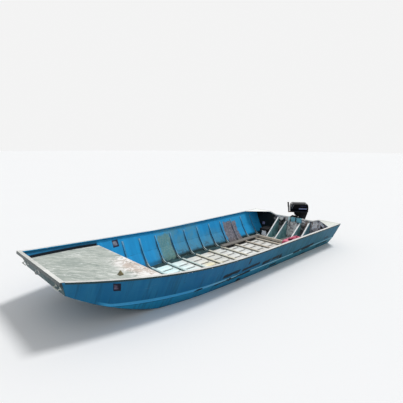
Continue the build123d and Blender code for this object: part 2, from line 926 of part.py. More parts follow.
with BuildPart() as deck_wedge:
    base = deck_height(wedge_x) + weld_gap + wedge_size / 2 * math.tan(deck_slope)
    add(faceted([
        [
            (along(wedge_x) + half * u, wedge_y + half * v, height)
            for u, v in ((1, 1), (-1, 1), (-1, -1), (1, -1))
        ]
        for height, half in ((base, wedge_size / 2), (base + wedge_height, wedge_tip))
    ]))
deck_wedge.part.label = "deck_wedge"

# Outboard motor. Its places are given aft of the transom cap's lip at the motor.
lip_face = transom_inside(dip_height) - (transom_plate + weld_gap + rail_wall)
mount_top = -draught + dip_height


def astern(distance):
    """X of a place aft of the transom cap's lip."""
    return along(lip_face - distance)


tilt_x = astern(tilt_back)
tilt_z = mount_top + tilt_rise
swivel_x = astern(swivel_back)

clamp_plane = Plane(
    origin=transom_plane.from_local_coords((0, up_slope(dip_height), 0)),
    x_dir=transom_plane.z_dir,
    z_dir=(0, -1, 0),
)
tilt_at = clamp_plane.to_local_coords(Vector(tilt_x, 0, tilt_z))
clamp_aft = -(transom_plate + weld_gap + rail_wall + fit_gap)
clamp_fore = pad_wall + weld_gap + clamp_ahead
clamp_front = clamp_fore + clamp_foot_wall
with BuildPart() as clamp_bracket:
    for side in (-1, 1):
        with BuildSketch(clamp_plane.offset(side * clamp_half - clamp_wall / 2)):
            with BuildLine():
                Polyline(
                    (clamp_aft, -clamp_outer_leg), (clamp_aft, fit_gap), (clamp_fore, fit_gap),
                    (clamp_fore, -clamp_inner_leg), (clamp_front, -clamp_inner_leg),
                    (clamp_front, clamp_crown), (tilt_at.X, tilt_at.Y + tilt_eye_radius),
                    (clamp_aft - clamp_leg_depth, tilt_at.Y), (clamp_aft - clamp_leg_depth, -clamp_outer_leg),
                    close=True,
                )
            make_face()
            with Locations((tilt_at.X, tilt_at.Y)):
                Circle(tilt_eye_radius)
        extrude(amount=clamp_wall)
    with BuildSketch(clamp_plane.offset(-clamp_half)):
        with Locations((clamp_aft - clamp_leg_depth / 2, clamp_bar_rise - clamp_outer_leg)):
            RegularPolygon(clamp_bar_radius, rod_sides)
    extrude(amount=2 * clamp_half)
    with BuildSketch(Plane(origin=(tilt_x, 0, tilt_z), x_dir=(1, 0, 0), z_dir=(0, -1, 0))):
        Circle(tilt_tube_radius)
    extrude(amount=2 * clamp_half, both=True, mode=Mode.SUBTRACT)
    for side in (-1, 1):
        with BuildSketch(clamp_plane.offset(side * clamp_half - clamp_boss / 2)):
            with Locations((clamp_fore + clamp_foot_wall / 2, screw_level)):
                Rectangle(clamp_foot_wall, clamp_boss)
        extrude(amount=clamp_boss)
        hole = Plane(
            origin=clamp_plane.from_local_coords((clamp_fore, screw_level, side * clamp_half)),
            x_dir=(0, 1, 0), z_dir=transom_plane.z_dir,
        )
        with BuildSketch(hole):
            RegularPolygon(screw_radius + fit_gap, rod_sides)
        extrude(amount=clamp_leg_depth, mode=Mode.SUBTRACT)
clamp_bracket.part.label = "clamp_bracket"

with BuildPart() as clamp_screws:
    for side in (-1, 1):
        start = pad_wall + weld_gap + fit_gap
        screw = Plane(
            origin=clamp_plane.from_local_coords((start, screw_level, -side * clamp_half)),
            x_dir=(0, 1, 0), z_dir=transom_plane.z_dir,
        )
        with BuildSketch(screw):
            RegularPolygon(screw_pad_radius, round_sides)
        extrude(amount=screw_pad_wall)
        with BuildSketch(screw.offset(screw_pad_wall)):
            RegularPolygon(screw_radius, rod_sides)
        extrude(amount=screw_length)
        bar_end = screw.from_local_coords((-screw_bar_half, 0, screw_length - 2.0))
        with BuildSketch(Plane(origin=bar_end, x_dir=screw.z_dir, z_dir=(0, 1, 0))):
            RegularPolygon(screw_radius, rod_sides)
        extrude(amount=2 * screw_bar_half)
clamp_screws.part.label = "clamp_screws"

with BuildPart() as tilt_tube:
    with BuildSketch(Plane(origin=(tilt_x, 0, tilt_z), x_dir=(1, 0, 0), z_dir=(0, -1, 0))):
        Circle(tilt_tube_radius - fit_gap)
    extrude(amount=clamp_half + clamp_wall, both=True)
tilt_tube.part.label = "tilt_tube"

swivel_half = clamp_half - clamp_wall / 2 - swivel_side_gap
with BuildPart() as swivel_bracket:
    with BuildSketch(Plane(origin=(tilt_x, 0, tilt_z), x_dir=(1, 0, 0), z_dir=(0, -1, 0))):
        Circle(tilt_tube_radius + swivel_eye)
        with BuildLine():
            reach = swivel_x - tilt_x
            Polyline(
                (0, swivel_arm), (-2 * swivel_arm, -swivel_arm), (reach, -swivel_arm),
                (reach, -swivel_web), (0, -swivel_arm), close=True,
            )
        make_face()
    extrude(amount=swivel_half, both=True)
    with BuildSketch(Plane.XY.offset(swivel_bottom)):
        with Locations((swivel_x, 0)):
            Circle(swivel_radius)
    extrude(amount=swivel_top - swivel_bottom)
    with BuildSketch(Plane(origin=(tilt_x, 0, tilt_z), x_dir=(1, 0, 0), z_dir=(0, -1, 0))):
        Circle(tilt_tube_radius)
    extrude(amount=2 * clamp_half, both=True, mode=Mode.SUBTRACT)
    with BuildSketch(Plane.XY.offset(swivel_bottom - 1)):
        with Locations((swivel_x, 0)):
            Circle(pivot_radius + fit_gap)
    extrude(amount=swivel_top - swivel_bottom + 2, mode=Mode.SUBTRACT)
swivel_bracket.part.label = "swivel_bracket"

# The leg hangs aft of the swivel tube
leg_x = astern(leg_back)
# Columns: height, length fore and aft, width, shift forward
leg_table = (
    (pan_bottom - weld_gap, 160.0, 132.0, -18.0),
    (350.0, 138.0, 100.0, -7.0),
    (244.0, 130.0, 86.0, -3.0),
    (40.0, 120.0, 58.0, -6.0),
    (vent_plate_height, 128.0, 44.0, -12.0),
)


def leg_ring(height, length, width, shift):
    """Corners of a twelve-sided plan, long fore and aft, about the leg's middle."""
    quarter = [(length / 2, width * 0.15), (length * 0.4, width * 0.37), (length * 0.22, width / 2)]
    forward = [*quarter, *[(-x, y) for x, y in quarter[::-1]]]
    ring = [*forward, *[(x, -y) for x, y in forward[::-1]]]
    return [(leg_x + shift + x, y, height) for x, y in ring]


with BuildPart() as motor_leg:
    add(faceted([leg_ring(*row) for row in leg_table]))
motor_leg.part.label = "motor_leg"

with BuildPart() as steering_pivot:
    yoke_low = swivel_bottom - pivot_end - yoke_foot_wall
    yoke_high = swivel_top + yoke_top_gap
    for level, wall, (radius, width) in (
        (yoke_low, yoke_foot_wall, yoke_foot),
        (yoke_high, pan_bottom - weld_gap - yoke_high, yoke_top),
    ):
        with BuildSketch(Plane.XY.offset(level)):
            with Locations((swivel_x, 0)):
                Circle(radius)
            with Locations(((swivel_x + leg_x) / 2, 0)):
                Rectangle(swivel_x - leg_x, width)
        extrude(amount=wall)
    with BuildSketch(Plane.XY.offset(swivel_bottom - pivot_end)):
        with Locations((swivel_x, 0)):
            Circle(pivot_radius)
    extrude(amount=pan_bottom - weld_gap - swivel_bottom + pivot_end)
    add(motor_leg.part, mode=Mode.SUBTRACT)
steering_pivot.part.label = "steering_pivot"


def pan_ring(height, grow):
    """Corners of the powerhead cover's plan, round at the steering axis and broad behind."""
    back = swivel_x + pan_nose_radius - pan_length - grow
    half = pan_half_width + grow
    nose = pan_nose_radius + grow
    shoulder = swivel_x - pan_shoulder
    run = math.hypot(pan_shoulder, half)
    tangent = math.atan2(half, -pan_shoulder) - math.acos(nose / run)
    side = [
        (swivel_x + nose * math.cos(tangent * step / 4), nose * math.sin(tangent * step / 4))
        for step in range(1, 5)
    ]
    long, short = pan_corner
    side += [(shoulder, half), (back + long, half), (back + short, half - short), (back, half - long)]
    ring = [(swivel_x + nose, 0), *side, *[(x, -y) for x, y in side[::-1]]]
    return [(x, y, height) for x, y in ring]


with BuildPart() as cowl_base:
    add(faceted([pan_ring(pan_bottom, -pan_flare), pan_ring(pan_top, 0)]))
cowl_base.part.label = "cowl_base"


def cowl_ring(height, grow):
    """Corners of the cowl's plan, a long rectangle with round corners."""
    side = []
    for x, turn in ((cowl_fore - cowl_corner, 0), (cowl_corner - cowl_aft, 90)):
        for step in range(5):
            angle = math.radians(turn + 22.5 * step)
            reach = cowl_corner + grow
            side.append((
                swivel_x + x + reach * math.cos(angle),
                cowl_half_width - cowl_corner + reach * math.sin(angle),
            ))
    return [(x, y, height) for x, y in side + [(x, -y) for x, y in side[::-1]]]


with BuildPart() as motor_cowl:
    cowl_low = pan_top + weld_gap
    add(faceted([cowl_ring(cowl_low + (cowl_top - cowl_low) * share, grow) for share, grow in cowl_table]))
motor_cowl.part.label = "motor_cowl"

# Gearcase: strut, plate over the propeller, round body and skeg
with BuildPart() as gearcase:
    with BuildSketch(Plane.XY.offset(vent_plate_height - weld_gap - vent_plate_wall)):
        with BuildLine():
            near = [(leg_x + x, y) for x, y in vent_table]
            Polyline(*near, *[(x, -y) for x, y in near[:0:-1]], close=True)
        make_face()
    extrude(amount=vent_plate_wall)
    strut_height = vent_plate_height - weld_gap - vent_plate_wall / 2 - propeller_height
    add(faceted([
        leg_ring(propeller_height + strut_height * share, length, strut_width, shift)
        for share, length, shift in strut_table
    ]))
    nose_x = astern(gearcase_nose)
    tail_x = astern(gearcase_tail)
    body = [level_ring(nose_x - back, radius) for back, radius in nose_table]
    add(faceted([*body, level_ring(tail_x, nose_table[-1][1])]))
    with BuildSketch(Plane.XZ):
        with BuildLine():
            Polyline(
                (nose_x - skeg_start, propeller_height),
                *[(leg_x - back, skeg_bottom + rise) for back, rise in skeg_table], close=True,
            )
        make_face()
    extrude(amount=skeg_wall / 2, both=True)
gearcase.part.label = "gearcase"

with BuildPart() as propeller:
    hub_front = tail_x - propeller_gap
    cone_start, cone_end = hub_cone
    with BuildSketch(Plane(origin=(hub_front, 0, propeller_height), x_dir=(-1, 0, 0), z_dir=(0, 1, 0))):
        with BuildLine():
            Polyline(
                (0, 0), (0, hub_radius), (hub_length * cone_start, hub_radius),
                (hub_length, hub_radius * cone_end), (hub_length, 0), close=True,
            )
        make_face()
    revolve(axis=Axis((0, 0, propeller_height), (1, 0, 0)))
    for turn in range(3):
        bladed = Plane(origin=(hub_front - hub_length / 2, 0, propeller_height)).rotated((turn * 120, 0, 0))
        rings = []
        for share, chord, wall in blade_table:
            radius = propeller_radius * share
            twist = math.atan2(2 * math.pi * radius, propeller_pitch)
            corners = [(u * chord / 2, v * wall / 2) for u, v in ((1, 1), (1, -1), (-1, -1), (-1, 1))]
            cosine, sine = math.cos(twist), math.sin(twist)
            rings.append([
                bladed.from_local_coords((u * cosine - v * sine, u * sine + v * cosine, radius))
                for u, v in corners
            ])
        add(faceted(rings))
propeller.part.label = "propeller"

# Tiller: bracket on the pan's nose, and the handle, folded up before the cowl
tiller_x = astern(-tiller_pivot_fore)
upright = Plane(origin=(tiller_x, 0, tiller_height), x_dir=(1, 0, 0), z_dir=(0, -1, 0))
tiller_plane = upright.rotated((0, -tiller_raised, 0))
with BuildPart() as tiller_bracket:
    nose_side = swivel_x + 40.0 - tiller_x
    root_low = pan_bottom + 24.0 - tiller_height
    with BuildSketch(upright):
        with BuildLine():
            Polyline(
                (nose_side, root_low), (nose_side + 40, -8), (-20, -8), (0, -tiller_knuckle),
                (0, tiller_knuckle), (-20, 10), (nose_side, 10), close=True,
            )
        make_face()
        Circle(tiller_knuckle)
    extrude(amount=fork_half, both=True)
    with BuildSketch(upright):
        with Locations((fork_slot_shift, 0)):
            Rectangle(fork_slot, fork_slot)
    extrude(amount=fork_slot_half, both=True, mode=Mode.SUBTRACT)
    pan_room = [pan_ring(pan_bottom, weld_gap - pan_flare), pan_ring(pan_top, weld_gap)]
    add(faceted(pan_room), mode=Mode.SUBTRACT)
    with BuildSketch(upright):
        Circle(tiller_pin_radius)
    extrude(amount=20, both=True)
tiller_bracket.part.label = "tiller_bracket"

arm_length = tiller_length * tiller_arm_share
with BuildPart() as tiller_arm:
    with BuildSketch(tiller_plane):
        Circle(tiller_knuckle - 1)
        with Locations((arm_length / 2, 0)):
            Rectangle(arm_length, tiller_arm_height)
    extrude(amount=tiller_arm_half, both=True)
    with BuildSketch(tiller_plane):
        Circle(tiller_pin_radius + fit_gap)
    extrude(amount=fork_half, both=True, mode=Mode.SUBTRACT)
tiller_arm.part.label = "tiller_arm"

with BuildPart() as tiller_grip:
    grip_length = tiller_length - arm_length
    flange_length, flange_rise = grip_flange
    grip_start = Plane(
        origin=tiller_plane.from_local_coords((arm_length + fit_gap, 0, 0)), z_dir=tiller_plane.x_dir,
    )
    for start, length, radius in (
        (0, grip_length - flange_length, tiller_radius),
        (grip_length - flange_length, flange_length, tiller_radius + flange_rise),
    ):
        with BuildSketch(grip_start.offset(start)):
            RegularPolygon(radius, round_sides)
        extrude(amount=length)
tiller_grip.part.label = "tiller_grip"


def steered(piece):
    """A piece of the motor, turned about the steering axis to where it stands."""
    moved = piece.rotate(Axis((swivel_x, 0, 0), (0, 0, 1)), steering_rest)
    moved.label = piece.label
    return moved


motor_pieces = [
    motor_leg.part, steering_pivot.part, cowl_base.part, motor_cowl.part, gearcase.part,
    propeller.part, tiller_bracket.part, tiller_arm.part, tiller_grip.part,
]
pieces = [
    hull_bottom.part, side_port, side_starboard, transom.part, transom_cap.part, bow_plate.part,
    gunwale_port, gunwale_starboard, bow_cap.part, fore_deck.part, deck_ledgers.part, deck_beam.part,
    rib_legs_port.part, rib_legs_starboard.part, floor_ribs.part, cross_member.part,
    transom_knees.part, motor_pad.part, corner_port, corner_starboard, bow_handles.part, bow_eye.part,
    side_floorboard.part, battery_box.part, battery_lid.part, fuel_tank.part, fuel_cap.part,
    tank_handle.part, deck_wedge.part, clamp_bracket.part, clamp_screws.part, tilt_tube.part,
    swivel_bracket.part, *[steered(piece) for piece in motor_pieces],
]
for piece in pieces:
    export_step(piece, f"parts/{piece.label}.step")
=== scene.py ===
"""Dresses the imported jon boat: enamel, worn aluminium, weathered ply and a black outboard motor."""

import enum
import logging
import math
from dataclasses import dataclass, field
from typing import Union

import bmesh
import bpy
from mathutils import Matrix, Vector, noise


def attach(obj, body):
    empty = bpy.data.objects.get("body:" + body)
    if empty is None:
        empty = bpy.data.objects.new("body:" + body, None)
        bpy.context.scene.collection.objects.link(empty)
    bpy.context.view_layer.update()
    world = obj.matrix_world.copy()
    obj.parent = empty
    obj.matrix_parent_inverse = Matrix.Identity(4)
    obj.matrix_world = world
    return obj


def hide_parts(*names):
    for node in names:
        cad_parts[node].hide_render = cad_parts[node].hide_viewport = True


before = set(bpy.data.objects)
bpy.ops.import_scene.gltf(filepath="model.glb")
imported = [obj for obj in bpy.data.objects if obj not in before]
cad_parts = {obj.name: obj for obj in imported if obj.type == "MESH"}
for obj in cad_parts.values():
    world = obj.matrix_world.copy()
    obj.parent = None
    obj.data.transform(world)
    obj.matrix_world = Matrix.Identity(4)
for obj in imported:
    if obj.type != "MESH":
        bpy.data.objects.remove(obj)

LOG = logging.getLogger("jon_boat")
Point = tuple[float, float, float]
Flat = tuple[float, float]
Colour = tuple[float, float, float]
Edges = tuple[float, float, float, float]
Value = Union["Wire", float]
Shade = Union["Wire", Colour]
Material = bpy.types.Material
Object = bpy.types.Object
# A material and the record's slot that it fills
Finish = tuple[Material, str]

# The steering axis' place along the boat, and how far the motor is turned about it at rest
STEERING = -2.70433
MOTOR_TURN = math.radians(-50.0)


class Axis(enum.Enum):
    """The three directions of the boat's frame."""

    FORWARD = 0
    PORT = 1
    UP = 2


class Side(enum.Enum):
    """The two sides of the boat, with their sign along Y."""

    PORT = 1
    STARBOARD = -1


# Shader maths


class Wire:
    """A value in a node tree that takes part in Python expressions."""

    def __init__(self, graph: "Graph", socket: bpy.types.NodeSocket) -> None:
        """Keep a node's output and the node tree it belongs to."""
        self.graph = graph
        self.socket = socket

    def maths(self, operation: str, *others: Value, clamp: bool = False) -> "Wire":
        """The result of one Math node on this value and the others, kept from 0 to 1 if asked."""
        values = dict(enumerate((self, *others)))
        return self.graph.out("ShaderNodeMath", {"operation": operation, "use_clamp": clamp}, values)

    def __add__(self, other: Value) -> "Wire":
        """Sum."""
        return self.maths("ADD", other)

    __radd__ = __add__

    def __mul__(self, other: Value) -> "Wire":
        """Product."""
        return self.maths("MULTIPLY", other)

    __rmul__ = __mul__

    def __sub__(self, other: Value) -> "Wire":
        """Difference."""
        return self.maths("SUBTRACT", other)

    def __rsub__(self, other: float) -> "Wire":
        """A number less this value."""
        return self.maths("MULTIPLY", -1.0) + other

    def __truediv__(self, other: Value) -> "Wire":
        """Quotient."""
        return self.maths("DIVIDE", other)

    def __abs__(self) -> "Wire":
        """Size without its sign."""
        return self.maths("ABSOLUTE")

    def above(self, edge: Value) -> "Wire":
        """One where this value is more than edge, and nothing elsewhere."""
        return self.maths("GREATER_THAN", edge)

    def below(self, edge: Value) -> "Wire":
        """One where this value is less than edge, and nothing elsewhere."""
        return self.maths("LESS_THAN", edge)

    def rise(self, low: float, high: float) -> "Wire":
        """Smooth rise from 0 at low to 1 at high, or a fall where low is the higher."""
        values = {"Value": self, "From Min": low, "From Max": high}
        return self.graph.out("ShaderNodeMapRange", {"interpolation_type": "SMOOTHSTEP"}, values)

    def band(self, low: float, high: float, soft: float) -> "Wire":
        """One between low and high, with edges of a given softness."""
        return self.rise(low - soft, low + soft) * self.rise(high + soft, high - soft)

    def most(self, other: Value) -> "Wire":
        """The larger of two values."""
        return self.maths("MAXIMUM", other)

    def coat(self, share: Value, colour: Shade) -> None:
        """Lay another colour over a share of this one."""
        self.socket = self.graph.mixed(share, self, colour).socket

    def kept(self) -> "Wire":
        """This value kept from 0 to 1."""
        return self.maths("ADD", 0.0, clamp=True)


class Graph:
    """Adds nodes to one node tree."""

    def __init__(self, tree: bpy.types.NodeTree) -> None:
        """Empty a node tree and keep it."""
        self.tree = tree
        tree.nodes.clear()

    def node(self, kind: str, settings: dict, values: dict) -> bpy.types.Node:
        """Add any node.

        Args:
            kind: the node's type.
            settings: its settings, which are set first.
            values: its inputs by name or number, wires or plain values.

        Returns:
            The new node.
        """
        made = self.tree.nodes.new(kind)
        for name, value in settings.items():
            setattr(made, name, value)
        for name, value in values.items():
            if isinstance(name, int):
                socket = made.inputs[name]
            else:
                socket = [s for s in made.inputs if s.name == name and s.enabled][0]
            if isinstance(value, Wire):
                self.tree.links.new(value.socket, socket)
            elif isinstance(value, tuple) and len(value) == 3 and socket.type == "RGBA":
                socket.default_value = (*value, 1.0)
            else:
                socket.default_value = value
        return made

    def out(self, kind: str, settings: dict, values: dict, name: str = "") -> Wire:
        """Add any node and take one output, its first in use unless it is named."""
        made = self.node(kind, settings, values)
        return Wire(self, [s for s in made.outputs if s.enabled and name in ("", s.name)][0])


class Recipe(Graph):
    """Builds the nodes of one material."""

    def __init__(self, name: str) -> None:
        """Start an empty material.

        Args:
            name: the material's name.
        """
        self.material = bpy.data.materials.new(name)
        self.material.use_nodes = True
        super().__init__(self.material.node_tree)
        self.place = self.out("ShaderNodeTexCoord", {}, {}, "Object")
        self.x, self.y, self.z = (self.along(axis, self.place) for axis in Axis)
        facing = self.out("ShaderNodeTexCoord", {}, {}, "Normal")
        self.ahead, self.abeam, self.up = (self.along(axis, facing) for axis in Axis)

    def along(self, axis: Axis, of: Wire) -> Wire:
        """One part of a vector."""
        return self.out("ShaderNodeSeparateXYZ", {}, {0: of}, "XYZ"[axis.value])

    def attribute(self, name: str) -> Wire:
        """A value stored on the piece's points."""
        return self.out("ShaderNodeAttribute", {"attribute_name": name}, {}, "Fac")

    def stretched(self, scale: Point, turn: float = 0.0, shift: Point = (0, 0, 0)) -> Wire:
        """The place on the piece, turned and then scaled, for a pattern with a direction.

        Args:
            scale: how much finer the pattern is in each direction.
            turn: how far it is turned about the upright, in radians.
            shift: how far it is moved once it is turned.

        Returns:
            The place.
        """
        values = {"Vector": self.place, "Location": shift, "Rotation": (0.0, 0.0, turn)}
        turned = self.out("ShaderNodeMapping", {}, values)
        return self.out("ShaderNodeMapping", {}, {"Vector": turned, "Scale": scale})

    def clouds(self, scale: float, detail: float = 3.0, rough: float = 0.55, at: "Wire | None" = None,
               bend: float = 0.0) -> Wire:
        """Soft noise about a half.

        Args:
            scale: patches per metre.
            detail: how many finer layers it has.
            rough: how strong the finer layers are.
            at: where it is read, the place on the piece unless given.
            bend: how far it folds on itself.

        Returns:
            The noise, from 0 to 1.
        """
        values = {"Vector": at or self.place, "Scale": scale, "Detail": detail,
                  "Roughness": rough, "Distortion": bend}
        return self.out("ShaderNodeTexNoise", {}, values, "Fac")

    def specks(self, scale: float) -> Wire:
        """Distance from scattered points, small at each speck."""
        return self.out("ShaderNodeTexVoronoi", {}, {"Vector": self.place, "Scale": scale}, "Distance")

    def cracks(self, scale: float, at: Wire) -> Wire:
        """Distance from the edges of scattered cells, small on each crack."""
        settings = {"feature": "DISTANCE_TO_EDGE"}
        return self.out("ShaderNodeTexVoronoi", settings, {"Vector": at, "Scale": scale}, "Distance")

    def mixed(self, share: Value, first: Shade, second: Shade) -> Wire:
        """A colour a share of the way from first to second, with the share kept from 0 to 1."""
        values = {"Factor": share, "A": first, "B": second}
        return self.out("ShaderNodeMix", {"data_type": "RGBA"}, values)

    def finish(self, colour: Shade, roughness: Value, height: "Wire | None" = None,
               relief: float = 0.001, metallic: Value = 0.0, shine: float = 0.5,
               **more: Value) -> Material:
        """Join everything to the surface shader.

        Args:
            colour: the base colour.
            roughness: the surface's roughness.
            height: a relief, from 0 to 1.
            relief: how high that relief is, in metres.
            metallic: how much of a metal it is.
            shine: how strongly it mirrors, a half for a plain surface.
            more: values of the shader's other sockets, with underscores for spaces.

        Returns:
            The finished material.
        """
        values = {"Base Color": colour, "Roughness": roughness, "Metallic": metallic, "Specular IOR Level": shine}
        values.update({name.replace("_", " "): value for name, value in more.items()})
        if height is not None:
            values["Normal"] = self.out("ShaderNodeBump", {}, {"Height": height, "Distance": relief})
        shader = self.out("ShaderNodeBsdfPrincipled", {}, values)
        self.node("ShaderNodeOutputMaterial", {}, {"Surface": shader})
        return self.material


# Finishes


@dataclass(frozen=True)
class Bays:
    """The spacing of the ribs, which the wear between them follows."""

    first: float = -2.29
    pitch: float = 0.33

    def share(self, x: Wire) -> Wire:
        """How far forward of a rib a place is, as a share of the way to the next."""
        return ((x - self.first) / self.pitch).maths("FRACT")


@dataclass(frozen=True)
class HullEnamel:
    """Sun-worn enamel on the plating: teal outside, azure inside, rubbed through in places; the outside's teal is the
    same enamel darkened as painted shade.
    """

    # Outside colours: the inside's enamel darkened as painted shade
    outside: Colour = (0.004, 0.118, 0.27)
    outside_aft: Colour = (0.01, 0.11, 0.165)
    outside_pale: Colour = (0.022, 0.185, 0.33)
    # Below the knuckle: the same enamel painted lighter, as painted light
    lower: Colour = (0.012, 0.25, 0.46)
    lower_aft: Colour = (0.02, 0.19, 0.27)
    # The spray rail's ridge colours are a painted highlight
    ridge: Colour = (0.055, 0.35, 0.64)
    ridge_highlight_aft: Colour = (0.27, 0.54, 0.66)
    plate_seam: float = 1.35
    # Aft and fore ends, height over the knuckle and half-height of the black rub marks outside
    smudges: tuple[Edges, ...] = (
        (0.29, 0.61, 0.074, 0.027), (-0.15, 0.23, 0.074, 0.022), (-0.73, -0.24, 0.06, 0.026),
        (-1.5, -1.11, 0.016, 0.019), (-1.78, -1.38, 0.022, 0.028), (0.116, 0.144, 0.19, 0.048),
        (0.42, 0.71, -0.02, 0.019), (0.02, 0.46, -0.016, 0.021), (0.145, 0.235, -0.112, 0.034),
        (-0.7, -0.52, -0.078, 0.021), (-0.76, -0.62, 0.034, 0.018), (-1.65, -1.49, -0.142, 0.024),
        (-2.4, -1.97, -0.058, 0.019), (0.94, 1.07, -0.01, 0.014), (-2.31, -2.17, 0.06, 0.016),
    )
    inside: Colour = (0.02, 0.37, 0.76)
    inside_deep: Colour = (0.016, 0.255, 0.56)
    inside_dull: Colour = (0.125, 0.315, 0.37)
    beside_deck: Colour = (0.016, 0.16, 0.34)
    worn: Colour = (0.31, 0.28, 0.305)
    worn_deep: Colour = (0.17, 0.15, 0.16)
    faded: Colour = (0.22, 0.34, 0.27)
    faded_deep: Colour = (0.13, 0.26, 0.23)
    rust: Colour = (0.06, 0.04, 0.024)
    foot_dark: Colour = (0.013, 0.034, 0.036)
    smudge: Colour = (0.004, 0.008, 0.012)
    pale_scuff: Colour = (0.26, 0.4, 0.46)
    streak: Colour = (0.004, 0.06, 0.11)
    stern_inside_lit: Colour = (0.034, 0.44, 0.84)
    beside_deck_pale: Colour = (0.018, 0.24, 0.48)
    deck_shade: Colour = (0.0, 0.004, 0.01)
    under_ridge_shadow: Colour = (0.002, 0.03, 0.075)
    seam_line: Colour = (0.002, 0.04, 0.08)
    bend_line: Colour = (0.012, 0.075, 0.13)
    inner_chip: Colour = (0.03, 0.04, 0.045)
    sheen: Colour = (0.16, 0.46, 0.66)
    dent: Colour = (0.004, 0.05, 0.085)
    # Aft, fore, low and high edges of the worn and the faded place inside the starboard side
    worn_place: Edges = (-1.77, -1.375, -0.07, 0.29)
    faded_place: Edges = (0.06, 0.31, -0.06, 0.33)
    # Aft and fore ends of the bays inside that have lost their shine
    dull_bays: Flat = (-0.66, 0.33)
    # Aft, fore, low and high edges of the blank stickers, inside to starboard and outside to port
    inner_sticker: Edges = (1.085, 1.195, 0.322, 0.425)
    outer_sticker: Edges = (2.046, 2.122, 0.43, 0.528)
    sticker_lean: float = 0.22
    # Aft, fore, low and high margins round a sticker's pale middle
    sticker_margins: Edges = (0.024, 0.01, 0.022, 0.016)
    # Colours of the rim and the middle
    inner_sticker_paint: tuple[Colour, Colour] = ((0.022, 0.026, 0.06), (0.4, 0.42, 0.5))
    outer_sticker_paint: tuple[Colour, Colour] = ((0.006, 0.006, 0.02), (0.33, 0.26, 0.38))
    deck_start: float = 1.45
    deck_height: float = 0.425
    deck_slope: float = 0.1083

    def base(self, r: Recipe, outer: Wire) -> Wire:
        """The enamel before anything is worn off it.

        Args:
            r: the material's recipe.
            outer: one outside, nothing inside.

        Returns:
            The paint's colour.
        """
        x = r.x
        broad = r.clouds(1.3, 4, 0.6)
        runs = r.clouds(1, 5, 0.65, r.stretched((9, 1, 0.8)))
        fade = (broad * 0.6 + runs * 0.6 - 0.35).rise(0.12, 0.55)
        aft = x.rise(0.7, -1.2)
        outside = r.mixed(aft, self.outside, self.outside_aft)
        outside.coat(fade * 0.75, self.outside_pale)
        # Painted light: below the knuckle the outside is painted lighter
        lower = r.attribute("over_knuckle").rise(0.002, -0.016) * x.rise(2.3, 2.05)
        outside.coat(lower * 0.85, r.mixed(aft, self.lower, self.lower_aft))
        streaks = r.clouds(1, 4, 0.6, r.stretched((30, 0.5, 1.6))).rise(0.5, 0.34)
        outside.coat(streaks * 0.45, self.streak)
        inside = r.mixed((broad * 0.5 + runs * 0.7 - 0.3).rise(0.05, 0.6), self.inside_deep, self.inside)
        # Painted sunlight: the inside is lighter azure towards the stern
        inside.coat(x.rise(-1.1, -1.9) * 0.5, self.stern_inside_lit)
        inside.coat(self.dulled(r), self.inside_dull)
        over_deck = r.z - self.deck_height - (x - self.deck_start) * self.deck_slope
        shade = (over_deck + (broad - 0.5) * 0.012).rise(0.034, 0.02)
        beside = r.mixed(runs.rise(0.4, 0.62) * 0.5, self.beside_deck, self.beside_deck_pale)
        beside.coat(shade, self.deck_shade)
        inside.coat(x.rise(self.deck_start - 0.01, self.deck_start + 0.03), beside)
        return r.mixed(outer, inside, outside)

    def dulled(self, r: Recipe) -> Wire:
        """How far the shine is gone inside, most at the feet of the middle bays.

        Args:
            r: the material's recipe.

        Returns:
            The share of dull paint.
        """
        aft, fore = self.dull_bays
        patchy = r.clouds(5, 6, 0.75, r.stretched((1, 1, 0.55)))
        low = (r.z + (patchy - 0.5) * 0.5).rise(0.3, 0) * r.x.band(-1.3, 0.4, 0.2)
        return (r.x.band(aft, fore, 0.08) * patchy.rise(0.34, 0.6) * 0.62).most(low * 0.55)

    def sticker(self, r: Recipe, edges: Edges, lean: float) -> tuple[Wire, Wire]:
        """A blank sticker with torn edges.

        Args:
            r: the material's recipe.
            edges: its aft, fore, low and high edges.
            lean: how far it leans aft.

        Returns:
            The whole and its pale, rubbed middle.
        """
        aft, fore, low, high = edges
        x, z = r.x, r.z
        torn = (r.clouds(34, 4, 0.7) - 0.5) * 0.016
        along = x + (z - (low + high) / 2) * -lean + torn
        upward = z + (x - (aft + fore) / 2) * -lean + torn
        whole = along.band(aft, fore, 0.0015) * upward.band(low, high, 0.0015)
        rubbed = r.clouds(11, 2, 0.5).rise(0.3, 0.62)
        rear, front, foot, top = self.sticker_margins
        middle = along.band(aft + rear, fore - front, 0.006) * upward.band(low + foot, high - top, 0.006)
        return whole, middle * rubbed

    def marked(self, r: Recipe, paint: Wire, outer: Wire, mottle: Wire) -> Wire:
        """The ridge's pale line, a painted highlight, with a painted shadow under it, a dark plate seam and the black
        rub marks beside it.

        Args:
            r: the material's recipe.
            paint: the colour so far.
            outer: one outside, nothing inside.
            mottle: a fine mottling.

        Returns:
            The colour with its marks.
        """
        x = r.x
        over_knuckle = r.attribute("over_knuckle")
        aft = x.rise(1.3, 0.2)
        widened = over_knuckle - x.rise(-0.2, 1.7) * 0.026
        # Painted highlight along the spray rail's ridge
        ridge = over_knuckle.rise(-0.012, -0.008) * widened.rise(0.008, 0.002) * outer * (0.72 + 0.5 * mottle)
        ridge *= x.rise(2.27, 2.12)
        paint.coat(ridge, r.mixed(aft, self.ridge, self.ridge_highlight_aft))
